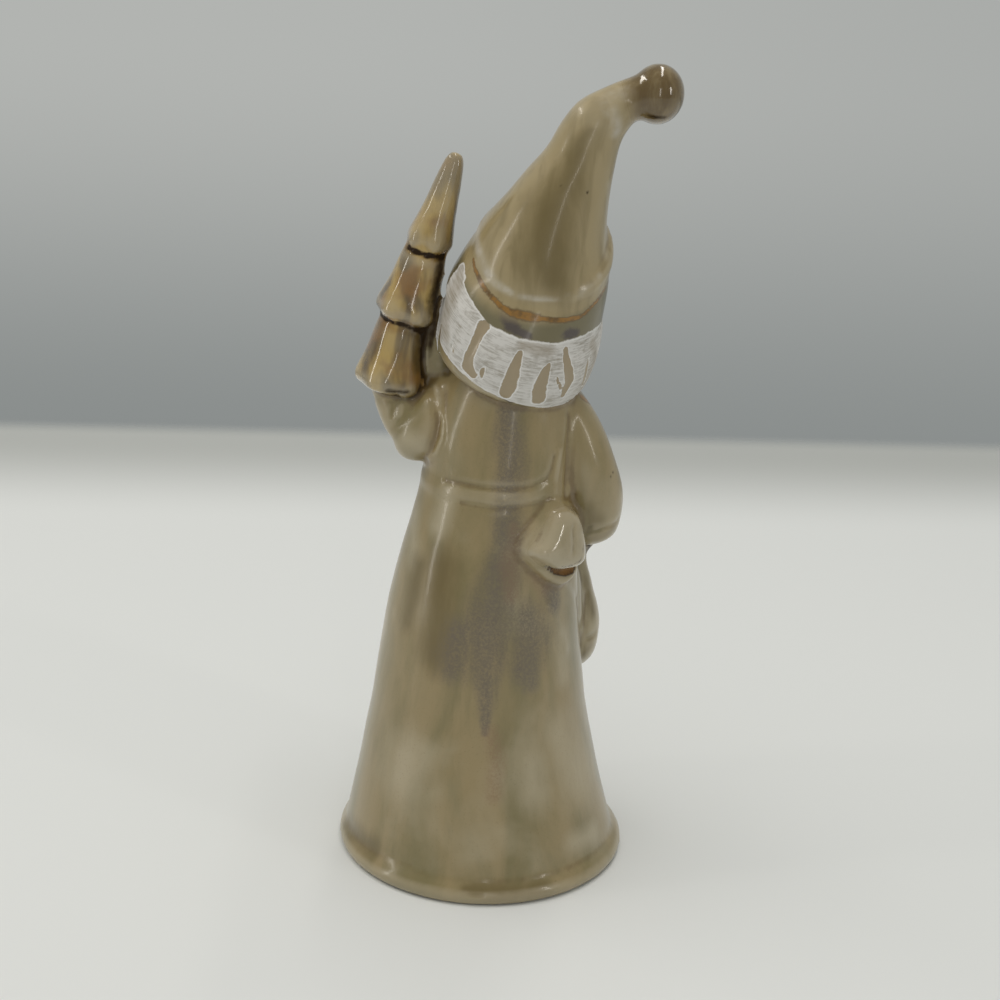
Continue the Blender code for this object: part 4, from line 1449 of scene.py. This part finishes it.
class Nodes:
    """Adds nodes to a tree, with their settings and links in one call."""

    def __init__(self, tree: bpy.types.NodeTree) -> None:
        """Takes up a tree and empties it.

        Args:
            tree: The node tree.
        """
        self.tree = tree
        tree.nodes.clear()

    def add(self, kind: str, inputs: dict | None = None, **settings: object) -> bpy.types.Node:
        """Adds one node.

        Args:
            kind: The node's type.
            inputs: Values or sockets for its inputs, by name or index.
            settings: Its properties.

        Returns:
            The node.
        """
        node = self.tree.nodes.new(kind)
        for key, value in settings.items():
            setattr(node, key, value)
        for key, value in (inputs or {}).items():
            if isinstance(value, bpy.types.NodeSocket):
                self.tree.links.new(value, node.inputs[key])
            else:
                node.inputs[key].default_value = value
        return node

    def field(self, name: str) -> bpy.types.NodeSocket:
        """Reads one number from the mesh."""
        return self.add("ShaderNodeAttribute", attribute_name=name).outputs["Fac"]

    def math(self, operation: str, *values: object) -> bpy.types.NodeSocket:
        """Does arithmetic on sockets or numbers."""
        return self.add("ShaderNodeMath", dict(enumerate(values)), operation=operation).outputs[0]

    def centred(self, value: object, size: float) -> bpy.types.NodeSocket:
        """Turns noise about 0.5 into noise about 0 of the given size."""
        return self.math("MULTIPLY", self.math("SUBTRACT", value, 0.5), size)

    def ramp(
        self, value: object, low: float, high: float, start: float = 0.0, end: float = 1.0
    ) -> bpy.types.NodeSocket:
        """Maps low to high smoothly on to start to end, and holds beyond.

        Args:
            value: The number or socket to map.
            low: Where the slope begins.
            high: Where it ends.
            start: What low gives.
            end: What high gives.

        Returns:
            The mapped number.
        """
        inputs = {"Value": value, "From Min": low, "From Max": high, "To Min": start, "To Max": end}
        node = self.add("ShaderNodeMapRange", inputs, interpolation_type="SMOOTHSTEP")
        return node.outputs["Result"]

    def mix(self, share: object, first: object, second: object, blend: str = "MIX") -> bpy.types.NodeSocket:
        """Mixes two colours, given as hex codes or sockets.

        Args:
            share: How much of the second is taken.
            first: The first colour.
            second: The second colour.
            blend: How they are blended.

        Returns:
            The mixed colour.
        """
        colours = [linear(colour) if isinstance(colour, str) else colour for colour in (first, second)]
        inputs = {0: share, 6: colours[0], 7: colours[1]}
        node = self.add("ShaderNodeMix", inputs, data_type="RGBA", blend_type=blend)
        return node.outputs[2]

    def noise(
        self, vector: object, size: float, detail: float = 3.0, rough: float = 0.5, bend: float = 0.0
    ) -> bpy.types.NodeSocket:
        """Cloudy noise with features of a given size.

        Args:
            vector: Where the noise is read.
            size: Size of its features in millimetres.
            detail: How many finer layers it has.
            rough: How strong the finer layers are.
            bend: How far it is distorted.

        Returns:
            The noise, about 0 to 1.
        """
        inputs = {
            "Vector": vector,
            "Scale": 1.0 / (size * MM),
            "Detail": detail,
            "Roughness": rough,
            "Distortion": bend,
        }
        return self.add("ShaderNodeTexNoise", inputs).outputs["Fac"]


@dataclass(frozen=True)
class ReactiveGlaze:
    """Glossy reactive stoneware glaze, with brushed matte white slip on the hair.

    The glaze runs down the form in streaks of tan, olive and cream. It thins to pale cream over
    edges and pools dark amber in crevices. A grey-mauve speckled bloom has run down the back.
    Pattern sizes are in millimetres.
    """

    tan: str = "#96855E"
    olive: str = "#7B714A"
    cream: str = "#B0A488"
    hat_cream: str = "#A0906A"
    hat_shade: str = "#7F714B"
    cap: str = "#716A4E"
    amber: str = "#855E27"
    amber_line: str = "#936B2B"
    brown: str = "#634C27"
    bobble: str = "#5C4718"
    stain: str = "#4A4240"
    # Darker glaze for the speckles and patches, and the colour of the painted shade.
    dark_glaze_and_shade: str = "#6A5B30"
    # Near black: the deepest pools, and painted shade in crevices, in the slit and under the dark strokes.
    pool_and_crevice_shade: str = "#2E2215"
    mauve: str = "#6A604F"
    rose: str = "#866A4E"
    tree_light: str = "#B09450"
    tree_dark: str = "#5C4A28"
    tree_amber: str = "#86602A"
    slip: str = "#D2D0CB"
    slip_grey: str = "#ADA9A1"
    slip_edge: str = "#E4E3E0"
    slip_thin: str = "#A39B8E"
    lock: str = "#9C8D72"
    ior: float = 1.5
    gloss: float = 0.14
    satin: float = 0.30
    stretch: float = 0.22
    streak: float = 12.0
    cloud: float = 24.0
    speckle: float = 0.7
    drip: float = 5.0
    drift: float = 8.0
    hat_run: float = 4.5
    milk_cloud: float = 6.0
    blot: float = 2.4
    bobble_run: float = 3.0
    tree_run: float = 6.0
    tree_patch: float = 9.0
    wobble: float = 2.2
    amber_patch: float = 3.0
    slip_patch: float = 5.0
    tear: float = 1.8
    grain: float = 1.6
    relief: float = 0.25

    def build(self) -> bpy.types.Material:
        """Makes the material.

        Returns:
            The material.
        """
        material = bpy.data.materials.new("glazed_stoneware_reactive_tan")
        material.use_nodes = True
        nodes = Nodes(material.node_tree)
        place = nodes.add("ShaderNodeTexCoord").outputs["Object"]
        run = nodes.add("ShaderNodeMapping", {"Vector": place, "Scale": (1.0, 1.0, self.stretch)}).outputs[0]
        glazed = self._tree(nodes, run, place, self._hat(nodes, run, place, self._robe(nodes, run, place)))
        pooled_and_shaded, deep = self._pools(nodes, place, glazed)
        covered, share = self._slip(nodes, place, pooled_and_shaded)
        self._shader(nodes, place, covered, share, deep)
        return material

    def _robe(self, nodes: Nodes, run: object, place: object) -> object:
        """Tan and olive streaks, cream clouds and the mauve bloom.

        Args:
            nodes: The material's nodes.
            run: Object coordinates squashed upwards, so that patterns run down.
            place: Object coordinates.

        Returns:
            The robe's colour.
        """
        streaks = nodes.ramp(nodes.noise(run, self.streak, 5.0, 0.55, 0.4), 0.34, 0.68)
        base = nodes.mix(streaks, self.tan, self.olive)
        clouds = nodes.ramp(nodes.noise(place, self.cloud, 3.0, 0.5, 0.3), 0.5, 0.78, 0.0, 0.5)
        base = nodes.mix(clouds, base, self.cream)
        padded = nodes.math("MULTIPLY", nodes.math("ADD", nodes.field("sack"), nodes.field("flap")), 0.4)
        base = self._patches_highlights_and_shade(nodes, run, nodes.mix(padded, base, self.cream))
        speckle = nodes.noise(place, self.speckle, 4.0, 0.8)
        base = nodes.mix(nodes.ramp(speckle, 0.56, 0.7, 0.0, 0.3), base, self.dark_glaze_and_shade)
        drips = nodes.math("MULTIPLY", nodes.noise(run, self.drip, 5.0, 0.6), 1.1)
        ragged = nodes.math("ADD", nodes.field("bloom"), drips)
        mottled = nodes.ramp(speckle, 0.3, 0.62, 0.35, 1.0)
        bloom = nodes.math("MULTIPLY", nodes.ramp(ragged, 0.62, 1.5), mottled)
        base = nodes.mix(bloom, base, self.mauve)
        blush = nodes.ramp(nodes.field("rose"), 0.0, 0.9, 0.0, 0.5)
        rose = nodes.math("MULTIPLY", blush, nodes.ramp(speckle, 0.3, 0.6))
        return nodes.mix(rose, base, self.rose)

    def _patches_highlights_and_shade(self, nodes: Nodes, run: object, base: object) -> object:
        """Adds the pale and dark places: partly the glaze's own patches, partly painted highlights and
        painted shade.

        Args:
            nodes: The material's nodes.
            run: Coordinates whose patterns run down.
            base: The colour so far.

        Returns:
            The colour with the places in it.
        """
        cloudy = nodes.centred(nodes.noise(run, self.drift, 4.0, 0.6), 0.8)
        # Pale strokes are partly painted highlights, and dark strokes are partly painted shade.
        pale = nodes.ramp(nodes.math("ADD", nodes.field("pale"), cloudy), 0.05, 1.1, 0.0, 0.75)
        dark_glaze_and_shade = nodes.ramp(nodes.math("ADD", nodes.field("dark_glaze_and_shade"), cloudy), 0.1, 1.0, 0.0, 0.9)
        return nodes.mix(dark_glaze_and_shade, nodes.mix(pale, base, self.cream), self.dark_glaze_and_shade)

    def _hat(self, nodes: Nodes, run: object, place: object, base: object) -> object:
        """Paler glaze of the hat, with faint runs, milky edges partly painted as highlights, and a brown
        bobble.

        Args:
            nodes: The material's nodes.
            run: Coordinates whose patterns run down.
            place: Object coordinates.
            base: The colour so far.

        Returns:
            The colour with the hat's in it.
        """
        runs = nodes.ramp(nodes.noise(run, self.hat_run, 3.0, 0.5, 0.8), 0.42, 0.72, 0.0, 0.6)
        hat = self._patches_highlights_and_shade(nodes, run, nodes.mix(runs, self.hat_cream, self.hat_shade))
        cloudy = nodes.ramp(nodes.noise(place, self.milk_cloud, 3.0), 0.3, 0.65)
        # Milky patches in the slip's white, partly painted highlights on the hat's lip and neck.
        milk_and_highlight = nodes.math("MULTIPLY", nodes.ramp(nodes.field("milky"), 0.0, 0.9, 0.0, 0.42), cloudy)
        hat = nodes.mix(milk_and_highlight, hat, self.slip)
        stained = nodes.math("ADD", nodes.field("bloom"), nodes.noise(place, self.blot, 4.0, 0.7))
        cap = nodes.mix(nodes.ramp(stained, 0.6, 1.2, 0.0, 0.9), self.cap, self.stain)
        hat = nodes.mix(nodes.field("cap"), hat, cap)
        dark = nodes.ramp(nodes.noise(run, self.bobble_run, 3.0, 0.6), 0.3, 0.65, 0.6, 1.0)
        hat = nodes.mix(nodes.math("MULTIPLY", nodes.field("tip"), dark), hat, self.bobble)
        return nodes.mix(nodes.field("hat"), base, hat)

    def _tree(self, nodes: Nodes, run: object, place: object, base: object) -> object:
        """Golden and dark brown glaze of the fir tree.

        Args:
            nodes: The material's nodes.
            run: Coordinates whose patterns run down.
            place: Object coordinates.
            base: The colour so far.

        Returns:
            The colour with the tree's in it.
        """
        runs = nodes.ramp(nodes.noise(run, self.tree_run, 3.0, 0.5, 0.5), 0.4, 0.62)
        tree = nodes.mix(runs, self.tree_light, self.tree_dark)
        patches = nodes.ramp(nodes.noise(place, self.tree_patch, 2.0), 0.45, 0.65, 0.0, 0.8)
        tree = nodes.mix(patches, tree, self.tree_amber)
        return nodes.mix(nodes.field("tree"), base, tree)

    def _pools(self, nodes: Nodes, place: object, base: object) -> tuple[object, object]:
        """Pale breaks over edges, amber line below the brim, dark pools, and painted shade in crevices.

        Args:
            nodes: The material's nodes.
            place: Object coordinates.
            base: The colour so far.

        Returns:
            The colour with the pools and painted shade in it, and the share of the darkest ones.
        """
        wobble = nodes.centred(nodes.noise(place, self.wobble, 3.0), 0.7)
        worn = nodes.math("MULTIPLY", nodes.field("ridge"), nodes.math("SUBTRACT", 1.0, nodes.field("tip")))
        base = nodes.mix(nodes.ramp(worn, 0.35, 1.3, 0.0, 0.5), base, self.cream)
        depth = nodes.math("MULTIPLY", nodes.field("pool_and_crevice_shade"), nodes.math("SUBTRACT", 1.0, nodes.field("bare")))
        depth = nodes.math("ADD", depth, wobble)
        base = nodes.mix(nodes.ramp(depth, 0.45, 1.5, 0.0, 0.6), base, self.brown)
        # Painted shade: the tree's deepest crevices go near black, partly pooled glaze and partly painted
        # shadow.
        deep = nodes.math("MULTIPLY", nodes.ramp(depth, 0.25, 0.9), nodes.field("tree"))
        base = nodes.mix(deep, base, self.pool_and_crevice_shade)
        amber = nodes.math("ADD", nodes.field("amber"), wobble)
        base = nodes.mix(nodes.ramp(amber, 0.15, 0.5, 0.0, 0.75), base, self.brown)
        uneven = nodes.ramp(nodes.noise(place, self.amber_patch, 3.0), 0.4, 0.66)
        base = nodes.mix(nodes.ramp(amber, 0.42, 0.65), base, nodes.mix(uneven, self.amber_line, self.brown))
        # The pressed slit is painted near black at its edges and amber inside: partly pooled glaze, partly
        # painted shade.
        slit = nodes.field("slit")
        base = nodes.mix(nodes.ramp(slit, 0.15, 0.4), base, self.pool_and_crevice_shade)
        base = nodes.mix(nodes.ramp(slit, 0.3, 0.52), base, self.amber)
        # Painted shade from the dark strokes, in the near black of the deepest pools.
        dark = nodes.ramp(nodes.math("ADD", nodes.field("dark"), wobble), 0.1, 1.0, 0.0, 0.95)
        inside = nodes.ramp(slit, 0.15, 0.4, 0.0, 0.6)
        deepest = nodes.math("MAXIMUM", nodes.math("MAXIMUM", dark, deep), inside)
        return nodes.mix(dark, base, self.pool_and_crevice_shade), deepest

    def _slip(self, nodes: Nodes, place: object, base: object) -> tuple[object, object]:
        """White slip in brush strokes, left off in the grooves between the locks.

        Args:
            nodes: The material's nodes.
            place: Object coordinates.
            base: The colour so far.

        Returns:
            The colour with the slip on it, and the slip's share.
        """
        brush = nodes.add("ShaderNodeAttribute", attribute_name="brush").outputs["Vector"]
        drawn = nodes.add("ShaderNodeMapping", {"Vector": brush, "Scale": (0.16, 0.16, 1.7)}).outputs[0]
        inputs = {"Vector": drawn, "Scale": 1.3, "Detail": 5.0, "Roughness": 0.65, "Distortion": 0.5}
        strokes = nodes.add("ShaderNodeTexNoise", inputs).outputs["Fac"]
        patches = nodes.noise(place, self.slip_patch, 4.0, 0.7)
        torn = nodes.centred(nodes.noise(place, self.tear, 4.0, 0.65), 0.3)
        inside = nodes.ramp(nodes.math("ADD", nodes.field("slip"), torn), 0.44, 0.56)
        bare = nodes.ramp(nodes.math("ADD", nodes.field("bare"), torn), 0.46, 0.54)
        worn = nodes.math("ADD", nodes.math("MULTIPLY", strokes, 0.6), nodes.math("MULTIPLY", patches, 0.4))
        gaps = nodes.ramp(worn, 0.34, 0.46, 0.7, 1.0)
        slip = nodes.mix(nodes.ramp(worn, 0.38, 0.56), self.slip_grey, self.slip)
        worn_through = nodes.ramp(nodes.field("thin"), 0.0, 0.8)
        thin = nodes.math("MULTIPLY", worn_through, nodes.ramp(strokes, 0.3, 0.6, 1.0, 0.6))
        slip = nodes.mix(thin, slip, self.slip_thin)
        edge = nodes.ramp(nodes.math("ADD", nodes.field("bare"), torn), 0.34, 0.46)
        slip = nodes.mix(edge, slip, self.slip_edge)
        brim = nodes.ramp(nodes.math("ADD", nodes.field("slip"), torn), 0.56, 0.7, 0.8, 0.0)
        slip = nodes.mix(brim, slip, self.slip_edge)
        share = nodes.math("MULTIPLY", inside, nodes.math("SUBTRACT", 1.0, bare))
        exposed = nodes.mix(nodes.math("MULTIPLY", inside, bare), base, self.lock)
        return nodes.mix(nodes.math("MULTIPLY", share, gaps), exposed, slip), share

    def _shader(self, nodes: Nodes, place: object, colour: object, slip: object, deep: object) -> None:
        """The gloss, duller in deep pools and on the slip, with the slip's bump and the output.

        Args:
            nodes: The material's nodes.
            place: Object coordinates.
            colour: The finished colour.
            slip: The slip's share.
            deep: The share of the darkest pools.
        """
        fine = nodes.noise(place, self.grain, 3.0, 0.6)
        height = nodes.math("ADD", nodes.math("MULTIPLY", slip, 0.8), nodes.math("MULTIPLY", fine, 0.25))
        bump = nodes.add("ShaderNodeBump", {"Height": height, "Strength": 0.55, "Distance": self.relief * MM})
        bright = nodes.math("ADD", nodes.field("tree"), nodes.field("flap"))
        bright = nodes.math("MINIMUM", 1.0, nodes.math("ADD", bright, nodes.field("tip")))
        glaze = nodes.ramp(bright, 0.0, 1.0, self.satin, self.gloss)
        rough = nodes.math("ADD", nodes.math("MULTIPLY", slip, 0.4), glaze)
        coat = nodes.ramp(bright, 0.0, 1.0, 0.45, 1.0)
        gloss = nodes.math("MULTIPLY", coat, nodes.math("SUBTRACT", 1.0, slip))
        open_glaze = nodes.math("SUBTRACT", 1.0, deep)
        gloss = nodes.math("MULTIPLY", gloss, open_glaze)
        inputs = {
            "Base Color": colour,
            "Roughness": rough,
            "IOR": self.ior,
            "Specular IOR Level": nodes.ramp(open_glaze, 0.0, 1.0, 0.1, 0.5),
            "Normal": bump.outputs[0],
            "Coat Weight": gloss,
            "Coat Roughness": nodes.ramp(bright, 0.0, 1.0, 0.13, 0.04),
            "Coat IOR": self.ior,
        }
        shader = nodes.add("ShaderNodeBsdfPrincipled", inputs)
        nodes.add("ShaderNodeOutputMaterial", {"Surface": shader.outputs[0]})


@dataclass
class Studio:
    """Pale table, grey wall, lamps and camera."""

    table_far: float = -0.402
    table_soft: float = 0.012
    table_slant: float = 0.073
    table_colour: str = "#E6E9E9"
    table_shade: str = "#BBBEBC"
    wall_low: str = "#8A8E8D"
    wall_high: str = "#B2B4B1"
    wall_distance: float = -0.62
    table_shaded: tuple[float, float] = (-0.38, -0.27)
    wall_fade_up: tuple[float, float] = (-0.08, 0.165)
    wall_fade_across: tuple[float, float] = (-0.35, 0.15)
    sky: float = 0.5
    sky_colour: str = "#DFE1E0"
    lamp_colour: str = "#FFF9F0"
    lens: float = 68.8
    sensor: float = 36.0
    tilt: float = 18.6
    roll: float = 2.5
    distance: float = 0.524
    target: tuple[float, float, float] = (-0.0016, 0.0, 0.10236)
    lamp_aim: tuple[float, float, float] = (0.0, 0.0, 0.1)
    lamps: tuple[tuple, ...] = (
        ("ceiling_left", (0.80, -0.60, 1.0), (0.08, 1.5), 3.6, True),
        ("ceiling_right", (-0.16, -0.50, 1.0), (0.08, 1.5), 3.0, True),
        ("window_left", (1.27, 0.34, 0.35), (0.08, 0.8), 1.5, False),
        ("window_behind", (-0.18, 1.3, 0.45), (0.04, 0.6), 0.5, False),
        ("window_right", (-1.1, 0.7, 0.5), (0.06, 0.5), 1.1, False),
        ("broad", (0.2, 0.3, 1.5), (1.4, 1.4), 7.5, False),
    )

    def build(self) -> None:
        """Sets everything up."""
        self._table()
        self._wall()
        self._world()
        self._lamps()
        self._camera()

    def _plane(
        self, name: str, centre: Sequence[float], size: Sequence[float], upright: bool
    ) -> bpy.types.Object:
        """Adds a flat piece of the surroundings.

        Args:
            name: Name of the piece.
            centre: Its middle in metres.
            size: Its width and its other side.
            upright: Whether it stands up, facing the figure's back.

        Returns:
            The piece.
        """
        turn = (math.radians(90), 0.0, 0.0) if upright else (0.0, 0.0, 0.0)
        bpy.ops.mesh.primitive_plane_add(size=1.0, location=centre, rotation=turn)
        plane = bpy.context.object
        plane.name = name
        plane.scale = (size[0], size[1], 1.0)
        bpy.ops.object.transform_apply(location=True, rotation=True, scale=True)
        plane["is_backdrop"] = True
        return plane

    def _table(self) -> None:
        """The table top, whose far edge is soft against the wall."""
        plane = self._plane("table_top", (0.0, 0.5, 0.0), (3.0, 2.2), False)
        material = bpy.data.materials.new("table_white_laminate")
        material.use_nodes = True
        nodes = Nodes(material.node_tree)
        place = nodes.add("ShaderNodeTexCoord").outputs["Object"]
        parts = nodes.add("ShaderNodeSeparateXYZ", {0: place}).outputs
        depth = nodes.math("SUBTRACT", parts["Y"], nodes.math("MULTIPLY", parts["X"], self.table_slant))
        share = nodes.ramp(depth, self.table_far - self.table_soft, self.table_far + self.table_soft)
        colour = nodes.mix(nodes.ramp(depth, *self.table_shaded), self.table_shade, self.table_colour)
        inputs = {"Base Color": colour, "Roughness": 0.55, "Specular IOR Level": 0.3}
        top = nodes.add("ShaderNodeBsdfPrincipled", inputs)
        clear = nodes.add("ShaderNodeBsdfTransparent")
        mixed = nodes.add("ShaderNodeMixShader", {0: share, 1: clear.outputs[0], 2: top.outputs[0]})
        nodes.add("ShaderNodeOutputMaterial", {"Surface": mixed.outputs[0]})
        plane.data.materials.append(material)

    def _wall(self) -> None:
        """The grey wall behind, which glows as painted light instead of being lit, darker towards the table
        and the right.
        """
        plane = self._plane("wall", (0.0, self.wall_distance, 0.2), (4.0, 1.6), True)
        material = bpy.data.materials.new("wall_grey_glow")
        material.use_nodes = True
        nodes = Nodes(material.node_tree)
        place = nodes.add("ShaderNodeTexCoord").outputs["Object"]
        parts = nodes.add("ShaderNodeSeparateXYZ", {0: place}).outputs
        colour = nodes.mix(nodes.ramp(parts["Z"], *self.wall_fade_up), self.wall_low, self.wall_high)
        colour = nodes.mix(nodes.ramp(parts["X"], *self.wall_fade_across, 0.25, 0.0), colour, self.wall_low)
        glow = nodes.add("ShaderNodeEmission", {"Color": colour, "Strength": 1.0})
        nodes.add("ShaderNodeOutputMaterial", {"Surface": glow.outputs[0]})
        plane.data.materials.append(material)

    def _world(self) -> None:
        """An even pale room."""
        world = bpy.data.worlds.new("room")
        world.use_nodes = True
        bpy.context.scene.world = world
        nodes = Nodes(world.node_tree)
        glow = nodes.add("ShaderNodeBackground", {"Color": linear(self.sky_colour), "Strength": self.sky})
        nodes.add("ShaderNodeOutputWorld", {"Surface": glow.outputs[0]})

    def _lamps(self) -> None:
        """Two level ceiling tubes, three tall windows and a broad light that shows no highlight."""
        for name, place, size, power, level in self.lamps:
            data = bpy.data.lights.new(name, "AREA")
            data.shape = "RECTANGLE"
            data.size, data.size_y = size
            data.energy = power
            data.color = linear(self.lamp_colour)[:3]
            lamp = bpy.data.objects.new(name, data)
            bpy.context.scene.collection.objects.link(lamp)
            lamp.location = place
            lamp.visible_glossy = name != "broad"
            if not level:
                aim = Vector(self.lamp_aim) - Vector(place)
                lamp.rotation_euler = aim.to_track_quat("-Z", "Y").to_euler()

    def _camera(self) -> None:
        """A camera behind the figure and a little above it."""
        data = bpy.data.cameras.new("camera")
        data.sensor_width = self.sensor
        data.lens = self.lens
        data.clip_start = 0.05
        camera = bpy.data.objects.new("camera", data)
        bpy.context.scene.collection.objects.link(camera)
        tilt = math.radians(self.tilt)
        back = Vector((0.0, math.cos(tilt), math.sin(tilt)))
        camera.location = Vector(self.target) + back * self.distance
        camera.rotation_mode = "QUATERNION"
        roll = Quaternion(UP, math.radians(self.roll))
        camera.rotation_quaternion = (-back).to_track_quat("-Z", "Y") @ roll
        bpy.context.scene.camera = camera


def save_sizes() -> None:
    """Logs the CAD part's corners and the dressed figure's corners."""
    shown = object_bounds()
    rows = {"cad": [list(corner) for corner in CAD_BOUNDS], "shown": [list(corner) for corner in shown]}
    for name, corners in rows.items():
        log.info("%s mm: %s", name, [[round(value / MM, 1) for value in corner] for corner in corners])


def main() -> None:
    """Builds the figure and its surroundings."""
    robe, head, hat, arms, tree = Robe(), Head(), Hat(), Arms(), FirTree()
    forms = [*robe.build(), *head.build(), *hat.build(), *arms.build(), *tree.build()]
    forms += [*Sack(arms.hand()).build(), *Pouch(robe).build()]
    figure, regions = Casting().build(robe, forms)
    surface = Surface(figure)
    Tooling(surface).apply()
    GlazeMap(surface, regions).apply()
    figure.data.materials.clear()
    figure.data.materials.append(ReactiveGlaze().build())
    figure.data.shade_smooth()
    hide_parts("gnome_figure")
    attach(figure, "root")
    Studio().build()
    bpy.context.scene.view_settings.view_transform = "Standard"
    save_sizes()


if __name__ == "__main__":
    main()
